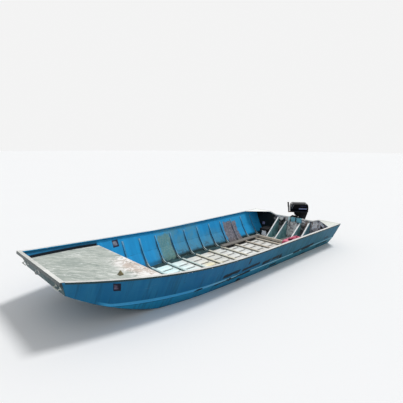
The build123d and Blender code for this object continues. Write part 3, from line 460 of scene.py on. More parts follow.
        # Painted shadow in a band under the spray rail
        under = over_knuckle.band(-0.024, -0.013, 0.002) * outer * r.clouds(5, 3, 0.6).rise(0.3, 0.5)
        paint.coat(under * 0.6, self.under_ridge_shadow)
        seam = x.band(self.plate_seam - 0.004, self.plate_seam + 0.004, 0.003) * over_knuckle.above(0.02) * outer
        paint.coat(seam * 0.45, self.seam_line)
        wander = (r.clouds(9, 4, 0.7) - 0.5) * 0.05
        ragged = (r.clouds(30, 4, 0.7) - 0.5) * 0.03 + wander * 0.5
        marks = x * 0
        for start, end, height, half in self.smudges:
            lift = height + (x - (start + end) / 2) * -0.06
            mark = (over_knuckle - lift + ragged).band(-half, half, 0.003) * (x + wander).band(start, end, 0.012)
            marks = marks.most(mark)
        port = outer * r.y.above(0)
        broken = r.clouds(14, 4, 0.7).rise(0.34, 0.42)
        return r.mixed(marks * broken * port * 0.95, paint, self.smudge)

    def make(self) -> Material:
        """Build the material, on the place, facing and stored heights of the plating.

        Returns:
            The material.
        """
        r = Recipe("hull_enamel")
        x, y, z = r.x, r.y, r.z
        outer = (r.abeam * y).rise(-0.02, 0.02)
        inner = 1 - outer
        over_knuckle, under_rail = r.attribute("over_knuckle"), r.attribute("under_rail")
        grain, mottle = r.clouds(70, 3, 0.6), r.clouds(6, 6, 0.72)
        paint = self.base(r, outer)

        bay = Bays().share(x)
        runs = r.clouds(1, 5, 0.7, r.stretched((26, 1, 3)))
        # A dark band just forward of each rib, partly rust and partly the rib's painted shadow; rust also low on the
        # side
        beside = bay.band(0.045, 0.115, 0.02) * runs.rise(0.36, 0.56) * x.band(-1.4, 0.75, 0.3)
        foot_rust = (z + (mottle - 0.5) * 0.2).rise(0.1, -0.04) * r.clouds(13, 5, 0.75).rise(0.5, 0.6)
        beside = beside * (z + (mottle - 0.5) * 0.3).rise(0.3, 0.16)
        rust_and_rib_shadow = (beside * 0.85).most(foot_rust * x.band(-1.3, 0.35, 0.15) * 0.7) * inner * x.below(self.deck_start)
        paint.coat(rust_and_rib_shadow, self.rust)
        seam = over_knuckle.band(-0.004, 0.005, 0.002) * inner * r.clouds(7, 4, 0.7).rise(0.44, 0.56)
        paint.coat(seam * x.below(self.deck_start) * 0.4, self.bend_line)

        # Darker towards the foot inside and near the waterline outside
        foot = (z + (mottle - 0.5) * 0.05).rise(0, -0.055) * inner * x.rise(1.3, -0.2).most(0.45)
        stained = outer * z.rise(0.04, 0) * mottle.rise(0.42, 0.6) * 0.55
        paint.coat(foot.most(stained), self.foot_dark)

        ragged = (r.clouds(16, 5, 0.75) - 0.5) * 0.13 + (r.clouds(5, 2, 0.5) - 0.5) * 0.1
        starboard = inner * y.below(0)
        scored = r.clouds(34, 5, 0.75).rise(0.46, 0.6)
        for (aft, fore, bottom, top), share, light, deep in (
            (self.faded_place, 0.75, self.faded, self.faded_deep), (self.worn_place, 0.95, self.worn, self.worn_deep),
        ):
            worn = (x + ragged).band(aft, fore, 0.016) * (z + ragged).band(bottom, top, 0.02) * starboard
            paint.coat(worn * share, r.mixed(scored, deep, light))
        inner_chips = inner * over_knuckle.rise(-0.02, -0.14) * r.specks(20).below(0.085)
        paint.coat(inner_chips * 0.6, self.inner_chip)
        # Painted sheen: lighter azure patches on the inside
        lights = inner * r.clouds(3, 6, 0.75, r.stretched((3, 1, 0.5))).rise(0.6, 0.72) * 0.35
        paint.coat(lights * x.below(self.deck_start), self.sheen)

        paint = self.marked(r, paint, outer, mottle)
        long_marks = r.clouds(1, 6, 0.75, r.stretched((1.6, 2, 55)))
        scuffs = long_marks.rise(0.62, 0.68) * r.clouds(2.2, 3, 0.6).rise(0.47, 0.62) * 0.35
        edge = under_rail.rise(0.022, 0.003) * r.clouds(12, 5, 0.7).rise(0.45, 0.6) * 0.3
        chips = r.specks(26).below(0.05) * r.clouds(1.8, 2, 0.5).rise(0.5, 0.62) * 0.4
        bare = scuffs.most(edge).most(chips) * outer
        paint.coat(bare, self.pale_scuff)
        dents = r.specks(11).below(0.1) * r.clouds(4, 3, 0.6).rise(0.52, 0.6) * outer * 0.45
        paint.coat(dents, self.dent)

        for edges, lean, (rim, pale), place, share in (
            (self.outer_sticker, self.sticker_lean, self.outer_sticker_paint, outer * y.above(0), 0.55),
            (self.inner_sticker, 0, self.inner_sticker_paint, starboard, 0.6),
        ):
            whole, middle = self.sticker(r, edges, lean)
            paint.coat(whole * place, rim)
            paint.coat(whole * middle * place * share, pale)

        rough = 0.42 + 0.2 * mottle + 0.2 * worn.kept() + 0.14 * bare.kept()
        height = grain * 0.25 + mottle * 0.5 - bare.kept() * 0.1
        return r.finish(paint, rough, height, 0.0014, shine=0.14)


@dataclass(frozen=True)
class BareSheet:
    """Oxidised aluminium sheet, scuffed and stained, painted at its edges and underneath; the edges' teal is darkened
    as painted shade, and a painted shadow lies beside the floorboard.
    """

    pale: Colour = (0.95, 0.96, 0.93)
    dull: Colour = (0.62, 0.64, 0.62)
    cool: Colour = (0.78, 1.0, 0.99)
    cream: Colour = (0.84, 0.74, 0.42)
    stain: Colour = (0.4, 0.27, 0.16)
    silt: Colour = (0.07, 0.062, 0.044)
    # Teal paint of the floor's edges, darkened as painted shade
    edge_paint_shaded: Colour = (0.03, 0.085, 0.095)
    under: Colour = (0.012, 0.13, 0.23)
    trodden: Colour = (0.6, 0.56, 0.46)
    aft_grey: Colour = (0.52, 0.46, 0.4)
    beside_rib: Colour = (0.26, 0.23, 0.17)
    board_shadow: Colour = (0.01, 0.01, 0.01)
    # Darker patches of the painted shade on the floor's edges
    edge_dark: Colour = (0.012, 0.03, 0.034)
    under_worn: Colour = (0.035, 0.075, 0.08)
    slot_places: tuple[float, ...] = (-0.384, -0.207, -0.03, 0.147, 0.324)
    slot_half: float = 0.015
    painted_from: float = 0.575
    # Aft, fore, starboard and port edges of the painted shadow beside the floorboard
    board_shade: Edges = (-2.05, -0.9, -0.56, -0.468)

    def metal(self, r: Recipe, bay: Wire) -> Wire:
        """The bare floor's colour, cool near the bow, cream amidships and brown in places aft.

        Args:
            r: the material's recipe.
            bay: how far forward of a rib a place is.

        Returns:
            The metal's colour.
        """
        x = r.x
        broad = r.clouds(2.3, 4, 0.6)
        scuff = r.clouds(1, 6, 0.75, r.stretched((3, 26, 1)))
        metal = r.mixed((broad * 0.7 + scuff * 0.6 - 0.35).rise(0.1, 0.5), self.dull, self.pale)
        metal.coat(x.rise(-0.1, 0.5) * (0.55 + 0.6 * scuff).kept(), self.cool)
        metal.coat(x.band(-0.8, -0.05, 0.2) * scuff.rise(0.3, 0.6) * 0.45, self.trodden)
        creamy = x.band(-0.42, -0.08, 0.05) * r.clouds(3, 4, 0.6).rise(0.42, 0.55) * r.y.rise(-0.35, 0)
        metal.coat(creamy.kept() * 0.85, self.cream)
        stains = r.clouds(4.4, 6, 0.75, bend=0.4).rise(0.52, 0.66) * x.rise(0, -0.5)
        metal.coat(stains * 0.55, self.stain)
        metal.coat(x.rise(-0.9, -1.6) * 0.3, self.aft_grey)
        beside = bay.rise(0.2, 0.06).most(bay.rise(0.82, 0.94))
        return r.mixed(beside * 0.3, metal, self.beside_rib)

    def make(self) -> Material:
        """Build the material, pale on the floor inside and enamelled on the underside.

        Returns:
            The material.
        """
        r = Recipe("floor_sheet")
        x, y = r.x, r.y
        inside = r.up.rise(-0.1, 0.1)
        bay = Bays().share(x)
        metal = self.metal(r, bay)

        wobble = (r.clouds(18, 3, 0.6) - 0.5) * 0.005
        slots = y * 0
        for place in self.slot_places:
            slots = slots.most((y + wobble).band(place - self.slot_half, place + self.slot_half, 0.003))
        slots = slots * (bay + wobble * 2).band(0.22, 0.8, 0.012) * r.clouds(9, 4, 0.6).rise(0.12, 0.24)
        metal.coat(slots * 0.88, self.silt)
        # Painted shadow in the bays along the floorboard's inner edge
        aft, fore, low, high = self.board_shade
        shade = (y + wobble).band(low, high, 0.006) * x.band(aft, fore, 0.02) * bay.band(0.1, 0.88, 0.03)
        metal.coat(shade * 0.95, self.board_shadow)

        # The floor's teal-painted edges, darkened as painted shade beside the sides
        ragged = (r.clouds(8, 5, 0.7) - 0.5) * 0.05
        painted = (abs(y) + ragged).rise(self.painted_from - 0.01, self.painted_from + 0.01)
        edge = r.mixed(r.clouds(5, 5, 0.7).rise(0.35, 0.65), self.edge_paint_shaded, self.edge_dark)
        floor = r.mixed(painted, metal, edge)
        under = r.mixed(r.clouds(3, 5, 0.65).rise(0.4, 0.7), self.under, self.under_worn)
        scrape = r.clouds(1, 6, 0.75, r.stretched((0.9, 30, 1))).rise(0.58, 0.66)
        under.coat(scrape * 0.6, self.dull)
        colour = r.mixed(inside, under, floor)
        broad = r.clouds(5, 3, 0.5)
        height = scrape * 0.3 + broad * 0.8 - slots * 0.4
        metallic = inside * (1 - painted.most(slots)).kept() * 0.2
        return r.finish(colour, 0.5 + 0.25 * broad, height, 0.0018, metallic, shine=0.25)


@dataclass(frozen=True)
class RailMetal:
    """Extruded aluminium rubbed pale on top, with old enamel left on its sides."""

    name: str = "rail_metal"
    pale: Colour = (0.66, 0.66, 0.61)
    dull: Colour = (0.42, 0.43, 0.41)
    paint: Colour = (0.016, 0.05, 0.06)
    paint_inside: Colour = (0.02, 0.33, 0.64)
    paint_left: float = 1.0
    # Starboard and port ends of the part that is enamelled all over, and its colours; the paler one is a painted
    # highlight at its starboard end
    middle_place: Flat = (0.0, 0.0)
    middle: Colour = (0.2, 0.52, 0.64)
    middle_highlight: Colour = (0.7, 0.96, 1.0)
    rust: Colour = (0.34, 0.22, 0.15)
    nick: Colour = (0.07, 0.08, 0.08)

    def make(self) -> Material:
        """Build the material, with paint where the metal doesn't face up.

        Returns:
            The material.
        """
        r = Recipe(self.name)
        up, y = r.up, r.y
        marks = r.clouds(1, 6, 0.75, r.stretched((5, 24, 24)))
        broad = r.clouds(2, 4, 0.6)
        metal = r.mixed((marks * 0.7 + broad * 0.6 - 0.35).rise(0.1, 0.55), self.dull, self.pale)
        rust = r.clouds(4.5, 5, 0.7).rise(0.62, 0.74)
        metal.coat(rust * 0.35, self.rust)
        nicks = r.clouds(46, 4, 0.7).rise(0.67, 0.71)
        metal.coat(nicks * 0.45, self.nick)
        chipped = r.clouds(24, 6, 0.75).rise(0.66, 0.61)
        painted = (up.rise(0.72, 0.45) * chipped * self.paint_left).kept()
        inboard = (r.abeam * y).rise(-0.1, -0.3)
        colour = r.mixed(painted, metal, r.mixed(inboard, self.paint, self.paint_inside))
        start, end = self.middle_place
        if end > start:
            chips, splash = r.clouds(26, 5, 0.7).rise(0.66, 0.6), (r.clouds(14, 4, 0.7) - 0.5) * 0.06
            # Painted highlight: the enamel is paler near its starboard end
            enamel = r.mixed((y + splash).band(start, start + 0.062, 0.006), self.middle, self.middle_highlight)
            colour.coat((y + splash).band(start, end, 0.003) * chips, enamel)
        rough = 0.42 + 0.22 * marks
        height = marks * 0.5 + r.clouds(40, 3, 0.6) * 0.3
        return r.finish(colour, rough, height, 0.0008, (1 - painted) * 0.25, shine=0.2)


@dataclass(frozen=True)
class FloorRibMetal:
    """Bars across the floor: trodden pale on top, with painted shade on their sides, darkest low down."""

    near_bow: Colour = (0.7, 0.84, 0.8)
    amidships: Colour = (0.84, 0.8, 0.66)
    astern: Colour = (0.66, 0.58, 0.48)
    # Sides: painted shade, darkest at the foot
    side: Colour = (0.1, 0.105, 0.08)
    deep: Colour = (0.018, 0.022, 0.018)
    foot: float = -0.077
    height: float = 0.02

    def make(self) -> Material:
        """Build the material on height, facing and the place along the boat.

        Returns:
            The material.
        """
        r = Recipe("floor_rib_metal")
        x, up, z = r.x, r.up, r.z
        marks = r.clouds(1, 6, 0.75, r.stretched((24, 5, 24)))
        tread = r.mixed(x.rise(0.2, -0.25), self.near_bow, self.amidships)
        tread.coat(x.rise(-0.7, -1.6), self.astern)
        tread.coat(marks.rise(0.58, 0.68) * 0.55, (0.28, 0.26, 0.2))
        # Painted shade on the faces that don't look up, darkest at the foot
        side = r.mixed((z - self.foot + (marks - 0.5) * 0.012).rise(0.3 * self.height, 0.95 * self.height),
                       self.deep, self.side)
        rubbed = (z - self.foot + (marks - 0.5) * 0.01).rise(0.5 * self.height, 0.72 * self.height) * 0.85
        colour = r.mixed(up.rise(0.2, 0.62).most(rubbed), side, tread)
        return r.finish(colour, 0.46 + 0.22 * marks, marks, 0.0008, up.rise(0.5, 0.9) * 0.15, shine=0.2)


@dataclass(frozen=True)
class RibEnamel:
    """The ribs' enamel: azure above, rubbed pale at the foot, with near-black painted shade on the side away from the
    sun.
    """

    azure: Colour = (0.028, 0.33, 0.64)
    deep: Colour = (0.016, 0.2, 0.42)
    foot: Colour = (0.23, 0.33, 0.36)
    shaded: Colour = (0.03, 0.03, 0.024)
    crest: Colour = (0.15, 0.43, 0.62)
    worn: Colour = (0.29, 0.265, 0.29)
    # Aft and fore ends, and top, of the place where the legs are worn bare to starboard
    worn_place: tuple[float, float, float] = (-1.7, -1.56, 0.27)
    foot_level: float = 0.03

    def make(self) -> Material:
        """Build the material on height and facing.

        Returns:
            The material.
        """
        r = Recipe("rib_enamel")
        x, z = r.x, r.z
        ahead, up = r.ahead, r.up
        broad, fine = r.clouds(6, 5, 0.65), r.clouds(38, 5, 0.7)
        paint = r.mixed(broad.rise(0.3, 0.7), self.deep, self.azure)
        paint.coat(abs(ahead).rise(0.3, 0.05) * fine.rise(0.34, 0.5) * 0.35, self.crest)
        rubbed = (z + (broad - 0.5) * 0.1).rise(self.foot_level + 0.05, self.foot_level - 0.06)
        paint.coat(rubbed * 0.85, self.foot)
        paint.coat(up.rise(0.55, 0.8) * fine.rise(0.36, 0.46) * 0.8, (0.42, 0.5, 0.48))
        # Painted shade on the faces that look forward, patchy, strongest amidships
        fore_face_shade = ahead.rise(0.3, 0.7) * (0.45 + 0.5 * x.band(-1.5, 0.7, 0.3)) * broad.rise(0.26, 0.46)
        colour = r.mixed(fore_face_shade, paint, self.shaded)
        aft, fore, top = self.worn_place
        worn = x.band(aft, fore, 0.01) * (z + (fine - 0.5) * 0.12).rise(top + 0.02, top - 0.02)
        worn = worn * r.y.below(0) * (0.86 - fore_face_shade.kept() * 0.3)
        colour.coat(worn, r.mixed(fine.rise(0.44, 0.6), (0.15, 0.132, 0.142), self.worn))
        height = fine * 0.4 + broad * 0.6
        return r.finish(colour, 0.45 + 0.22 * broad, height, 0.0009, shine=0.18)


@dataclass(frozen=True)
class TransomEnamel:
    """The transom: teal outside; inside, painted shade, darkest to starboard, with pale mottling, brown stains and a
    splash.
    """

    outside: Colour = (0.012, 0.12, 0.185)
    outside_deep: Colour = (0.006, 0.062, 0.105)
    # Inside: near-black painted shade
    dark: Colour = (0.012, 0.017, 0.017)
    grey: Colour = (0.48, 0.45, 0.48)
    white: Colour = (1.0, 0.99, 0.98)
    brown: Colour = (0.17, 0.095, 0.065)
    chip: Colour = (0.26, 0.36, 0.38)
    fleck: Colour = (0.2, 0.26, 0.3)
    # Starboard, port, low and high edges of the lilac splash low in the starboard corner
    spot: Edges = (-0.795, -0.725, 0.1, 0.16)
    splash: Colour = (0.36, 0.33, 0.52)

    def make(self) -> Material:
        """Build the material, with one colouring for each face.

        Returns:
            The material.
        """
        r = Recipe("transom_enamel")
        y, z, ahead = r.y, r.z, r.ahead
        broad, fine = r.clouds(5, 5, 0.7), r.clouds(30, 5, 0.7)
        blots = r.clouds(7, 5, 0.7, bend=1.2)
        outside = r.mixed(broad.rise(0.3, 0.7), self.outside_deep, self.outside)
        outside.coat(fine.rise(0.64, 0.7) * 0.4, self.chip)
        upper = (z + (broad - 0.5) * 0.08).rise(0.24, 0.31) * y.rise(-0.52, -0.4)
        corner = y.rise(0.34, 0.42) * (z + (broad - 0.5) * 0.1).rise(0.12, 0.24)
        lighter = upper.most(y.band(-0.16, 0.16, 0.04) * 0.85).most(corner).most(y.rise(-0.5, -0.3) * 0.25)
        # Inside, near-black painted shade wherever the pale mottling doesn't show
        inside = r.mixed(blots.rise(0.38, 0.46) * lighter, self.dark, self.grey)
        inside.coat((blots + upper * 0.06).rise(0.49, 0.54) * lighter, self.white)
        brown = r.clouds(1, 5, 0.7, r.stretched((10, 12, 5))).rise(0.52, 0.62)
        inside.coat(brown * y.rise(-0.2, 0) * 0.85, self.brown)
        inside.coat(fine.rise(0.66, 0.7) * 0.4, self.fleck)
        right, left, low, high = self.spot
        near = (r.clouds(26, 4, 0.7) - 0.5) * 0.05
        spot = (y + near).band(right, left, 0.008) * (z + near).band(low, high, 0.008)
        inside.coat(spot * 0.8, self.splash)
        colour = r.mixed(ahead.rise(-0.2, 0.2), outside, inside)
        return r.finish(colour, 0.48 + 0.25 * broad, fine * 0.4 + broad * 0.6, 0.001, shine=0.16)


@dataclass(frozen=True)
class PlainEnamel:
    """Enamel on small work, chipped pale where it faces a given way."""

    name: str
    colour: Colour
    deep: Colour
    bare: Colour = (0.72, 0.74, 0.7)
    bare_up: float = 0.6
    bare_share: float = 0.5

    def make(self) -> Material:
        """Build the material, bare on faces that look up or forward.

        Returns:
            The material.
        """
        r = Recipe(self.name)
        up, fore = r.up, r.ahead
        broad = r.clouds(6, 5, 0.65)
        fine = r.clouds(42, 5, 0.7)
        paint = r.mixed(broad.rise(0.3, 0.7), self.deep, self.colour)
        worn = up.most(fore).rise(self.bare_up - 0.08, self.bare_up + 0.08)
        worn = (worn * self.bare_share * fine.rise(0.3, 0.44)).most(fine.rise(0.7, 0.74) * 0.6)
        colour = r.mixed(worn, paint, self.bare)
        height = fine * 0.4 + broad * 0.6 - worn.kept() * 0.3
        return r.finish(colour, 0.45 + 0.22 * broad, height, 0.0009, shine=0.18)


@dataclass(frozen=True)
class BowEnamel:
    """The bow plate: grey-teal enamel, with a painted shadow under its cap, scored and splashed lower down."""

    colour: Colour = (0.125, 0.19, 0.2)
    deep: Colour = (0.048, 0.086, 0.095)
    # Near-black of the painted shadow under the cap, and of the scores
    shade: Colour = (0.01, 0.013, 0.015)
    splash: Colour = (0.48, 0.46, 0.48)
    cap_foot: float = 0.615
    shadow_depth: float = 0.045

    def make(self) -> Material:
        """Build the material on height, with runs down the plate.

        Returns:
            The material.
        """
        r = Recipe("bow_enamel")
        z, ahead = r.z, r.ahead
        broad, fine = r.clouds(5, 5, 0.65), r.clouds(40, 5, 0.7)
        runs = r.clouds(1, 5, 0.7, r.stretched((10, 16, 2)))
        paint = r.mixed((broad * 0.6 + runs * 0.5 - 0.3).rise(0.1, 0.45), self.deep, self.colour)
        splashed = r.clouds(9, 6, 0.75, bend=0.6).rise(0.6, 0.66) * ahead.rise(0.2, 0.6)
        paint.coat(splashed * 0.6, self.splash)
        scored = r.cracks(7, r.stretched((1, 2.6, 0.7), 0.3)).rise(0.03, 0.008) * broad.rise(0.48, 0.6)
        paint.coat(scored * 0.8, self.shade)
        # Painted shadow under the cap's overhang
        under = (z + (broad - 0.5) * 0.05).rise(self.cap_foot - self.shadow_depth - 0.03, self.cap_foot - 0.02)
        colour = r.mixed(under * 0.85, paint, self.shade)
        return r.finish(colour, 0.45 + 0.22 * broad, fine * 0.4 + broad * 0.6, 0.001, shine=0.16)


@dataclass(frozen=True)
class WeatheredPly:
    """The fore deck's sheet: old grey paint on ply, mottled, cracked and tanned aft."""

    grey: Colour = (0.42, 0.46, 0.42)
    pale: Colour = (0.56, 0.59, 0.54)
    dark: Colour = (0.2, 0.25, 0.225)
    tan: Colour = (0.66, 0.53, 0.46)
    stroke: Colour = (0.92, 0.93, 0.9)
    flake: Colour = (0.95, 0.93, 0.9)
    fleck: Colour = (0.13, 0.085, 0.055)
    crack: Colour = (0.19, 0.17, 0.14)
    rubbed: Colour = (0.8, 0.79, 0.74)
    ply_pale: Colour = (0.24, 0.19, 0.13)
    ply_dark: Colour = (0.13, 0.1, 0.07)
    aft_edge: float = 1.45
    stroke_turn: float = 0.768

    def make(self) -> Material:
        """Build the material, with its brush strokes at an angle across the boat.

        Returns:
            The material.
        """
        r = Recipe("weathered_ply")
        x, y = r.x, r.y
        mottle = r.clouds(1, 7, 0.74, r.stretched((3.6, 12, 4), self.stroke_turn), 0.8)
        strokes = r.clouds(1, 5, 0.7, r.stretched((5.5, 34, 5), self.stroke_turn), 1.2)
        broad = r.clouds(2.6, 4, 0.6, bend=0.5)
        fine = r.clouds(60, 5, 0.7)
        colour = r.mixed(mottle.rise(0.38, 0.62), self.grey, self.pale)
        colour.coat(broad.rise(0.55, 0.3) * 0.5, self.dark)
        colour.coat(strokes.rise(0.46, 0.37) * 0.75, self.dark)
        brushed = strokes.rise(0.54, 0.63) * (0.25 + 0.75 * r.clouds(3.4, 4, 0.6).rise(0.4, 0.56))
        colour.coat(brushed * 0.92, self.stroke)
        near_aft = (x - self.aft_edge).rise(0.5, 0) * (y + 0.55).rise(0, 0.9)
        tanned = (near_aft * (mottle * 0.9 + broad * 0.8 - 0.25)).rise(0.14, 0.45)
        colour.coat(tanned * 0.8, self.tan)
        flaked = near_aft.rise(0.05, 0.5) * r.clouds(8, 6, 0.75, bend=0.6).rise(0.46, 0.56)
        colour.coat(flaked * 0.9, self.flake)
        flecks = (near_aft + 0.15).kept() * r.clouds(24, 5, 0.7).rise(0.6, 0.66)
        colour.coat(flecks * 0.75, self.fleck)
        cracks = r.cracks(9, r.stretched((1, 2.2, 1), 0.35)).rise(0.035, 0.008)
        cracked = cracks * (near_aft + 0.25).kept() * broad.rise(0.42, 0.55)
        colour.coat(cracked * 0.6, self.crack)
        edge = (abs(y) - 0.02).rise(0.72, 0.8).most((x - self.aft_edge).rise(0.02, 0.004))
        colour.coat(edge * fine.rise(0.4, 0.55) * 0.7, self.rubbed)
        sides = abs(r.up).rise(0.6, 0.3)
        plies = (r.z * 330 + r.x * -38).maths("SINE")
        colour.coat(sides, r.mixed(plies.rise(-0.4, 0.4), self.ply_pale, self.ply_dark))
        height = mottle * 0.4 + strokes * 0.4 + fine * 0.3 - cracked * 0.6
        return r.finish(colour, 0.68 + 0.2 * fine, height, 0.0022, shine=0.3)


@dataclass(frozen=True)
class WeatheredBoard:
    """Old timber with its grain along the boat or upright."""

    name: str
    pale: Colour
    dark: Colour
    grain: Point = (2.2, 46.0, 46.0)

    def make(self) -> Material:
        """Build the material, with grain, open splits and grey weathering.

        Returns:
            The material.
        """
        r = Recipe(self.name)
        bands = r.clouds(1, 5, 0.65, r.stretched(self.grain), 0.8)
        fibres = r.clouds(3, 6, 0.75, r.stretched(self.grain), 0.3)
        broad = r.clouds(3.5, 4, 0.6)
        colour = r.mixed((bands * 0.8 + fibres * 0.5 - 0.35).rise(0.15, 0.55), self.dark, self.pale)
        colour.coat(broad.rise(0.5, 0.75) * 0.4, (0.42, 0.41, 0.38))
        splits = fibres.rise(0.34, 0.28)
        colour.coat(splits * 0.75, (0.05, 0.042, 0.035))
        return r.finish(colour, 0.72 + 0.18 * fibres, fibres * 0.7 - splits * 0.6, 0.0022)


@dataclass(frozen=True)
class GlossCowl:
    """Black gloss of the motor's cover, with its pale side stripe, seam and slanted bars; the bars are partly a decal
    and partly a painted reflection.
    """

    black: Colour = (0.002, 0.002, 0.004)
    stripe: Colour = (0.34, 0.38, 0.62)
    faint: Colour = (0.03, 0.04, 0.11)
    seam: Colour = (0.075, 0.08, 0.095)
    bars: Colour = (0.23, 0.24, 0.26)
    # Low and high edges, then aft and fore ends from the steering axis, of what is drawn on each side
    stripe_place: Edges = (0.572, 0.588, -0.172, -0.01)
    faint_place: Edges = (0.632, 0.64, -0.15, -0.044)
    seam_place: Edges = (0.512, 0.519, -0.195, 0.1)
    side_from: float = 0.08
    # Aft and fore ends of the slanted bars at their middle height, their low and high edges and their lean
    bar_ends: tuple[Flat, ...] = ((0.136, 0.148), (0.108, 0.116))
    bar_heights: Flat = (0.575, 0.665)
    bar_lean: float = 0.45

    def make(self) -> Material:
        """Build the material in the motor's own frame, which is turned about the steering axis.

        Returns:
            The material.
        """
        r = Recipe("gloss_cowl")
        shift = (-STEERING * math.cos(MOTOR_TURN), STEERING * math.sin(MOTOR_TURN), 0)
        own = r.stretched((1, 1, 1), -MOTOR_TURN, shift)
        x, y, z = r.along(Axis.FORWARD, own), r.along(Axis.PORT, own), r.along(Axis.UP, own)
        dust = r.clouds(9, 6, 0.7)
        fine = r.clouds(120, 3, 0.6)
        colour = r.mixed(dust.rise(0.55, 0.85) * 0.3, self.black, (0.012, 0.012, 0.016))
        on_side = abs(y).rise(self.side_from, self.side_from + 0.006)
        for (low, high, aft, fore), shown, share in (
            (self.seam_place, self.seam, 0.8), (self.faint_place, self.faint, 0.9),
            (self.stripe_place, self.stripe, 1),
        ):
            drawn = z.band(low, high, 0.0012) * x.band(aft, fore, 0.004) * on_side * share
            colour.coat(drawn, shown)
        # Grey slanted bars on each side: partly a decal, partly a painted reflection
        lean = x + (z - 0.622) * self.bar_lean
        front, rear = (lean.band(aft, fore, 0.003) for aft, fore in self.bar_ends)
        slanted = front.most(rear) * z.band(*self.bar_heights, 0.004) * r.clouds(60, 3, 0.6).rise(0.35, 0.5)
        colour.coat(slanted * on_side, self.bars)
        rough = 0.1 + 0.16 * dust.rise(0.4, 0.9)
        polished = r.up.band(0.55, 0.94, 0.06) * 0.9
        return r.finish(colour, rough, fine * 0.3 + dust * 0.4, 0.0003, shine=0.05,
                        Coat_Weight=polished, Coat_Roughness=0.1)


@dataclass(frozen=True)
class CastPaint:
    """Black enamel over cast aluminium, rubbed grey in spots."""

    name: str = "motor_enamel"
    colour: Colour = (0.017, 0.017, 0.02)
    bare: Colour = (0.28, 0.28, 0.28)
    rub: float = 0.66
    metallic: float = 0.0

    def make(self) -> Material:
        """Build the material, with a sand-cast skin.

        Returns:
            The material.
        """
        r = Recipe(self.name)
        skin = r.clouds(190, 4, 0.6)
        broad = r.clouds(9, 5, 0.65)
        rubs = r.clouds(22, 6, 0.75).rise(self.rub, self.rub + 0.06)
        worn = tuple(min(1, share * 1.9 + 0.02) for share in self.colour)
        base = r.mixed(broad.rise(0.4, 0.75) * 0.4, self.colour, worn)
        colour = r.mixed(rubs * 0.7, base, self.bare)
        return r.finish(colour, 0.42 + 0.25 * broad, skin * 0.6 - rubs * 0.3, 0.0006, self.metallic, shine=0.15)


@dataclass(frozen=True)
class MouldedPlastic:
    """Moulded plastic with a faint leather-like skin, faded by the sun."""

    name: str
    colour: Colour
    faded: Colour
    gloss: float = 0.5
    skin: float = 260.0
    # Starboard, port, low and high edges of a torn white label on a face that looks forward
    label: Edges = (0.0, 0.0, 0.0, 0.0)
    label_white: Colour = (0.9, 0.91, 0.94)

    def make(self) -> Material:
        """Build the material, paler where it faces up, with its label if it has one.

        Returns:
            The material.
        """
        r = Recipe(self.name)
        broad = r.clouds(8, 5, 0.65)
        pebbles = r.specks(self.skin)
        dust = r.clouds(30, 5, 0.7)
        share = (r.up.rise(-0.2, 1) * 0.7 + broad * 0.6 - 0.3).kept()
        colour = r.mixed(share, self.colour, self.faded)
        colour.coat(dust.rise(0.62, 0.8) * 0.25, (0.3, 0.29, 0.26))
        right, left, low, high = self.label
        if left > right:
            torn = (r.clouds(15, 4, 0.7) - 0.5) * 0.09
            stuck = (r.y + torn).band(right, left, 0.004) * (r.z - torn).band(low, high, 0.004)
            stuck *= r.ahead.above(0.5) * r.clouds(21, 4, 0.7).rise(0.38, 0.44)
            colour.coat(stuck, self.label_white)
        return r.finish(colour, self.gloss + 0.2 * broad, pebbles * 0.5 + dust * 0.3, 0.0004, shine=0.15)


@dataclass(frozen=True)
class GalvanisedSteel:
    """Zinc-coated steel of small fittings, with rust at its low places."""

    name: str = "fitting_steel"
    pale: Colour = (0.6, 0.6, 0.58)
    dull: Colour = (0.34, 0.34, 0.34)
    metallic: float = 0.8

    def make(self) -> Material:
        """Build the material, with spangles and rust.

        Returns:
            The material.
        """
        r = Recipe(self.name)
        cells = r.out("ShaderNodeTexVoronoi", {}, {"Vector": r.place, "Scale": 130}, "Color")
        spangle = r.along(Axis.FORWARD, cells)
        rust = r.clouds(40, 6, 0.7).rise(0.6, 0.7)
        colour = r.mixed(spangle, self.dull, self.pale)
        colour.coat(rust * 0.7, (0.2, 0.085, 0.035))
        return r.finish(colour, 0.34 + 0.2 * spangle + 0.25 * rust, spangle * 0.3 + rust * 0.5, 0.0004,
                        (1 - rust) * self.metallic)


# Mesh making

# Distances within which points are one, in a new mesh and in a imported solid, in metres
DOUBLES = 1e-6
PACKED_DOUBLES = 2e-5
# Angle under which neighbouring faces are one flat face, and what is added to a corner for a sharp edge
FLAT_ANGLE = math.radians(0.6)
SHARP_MORE = 8.0


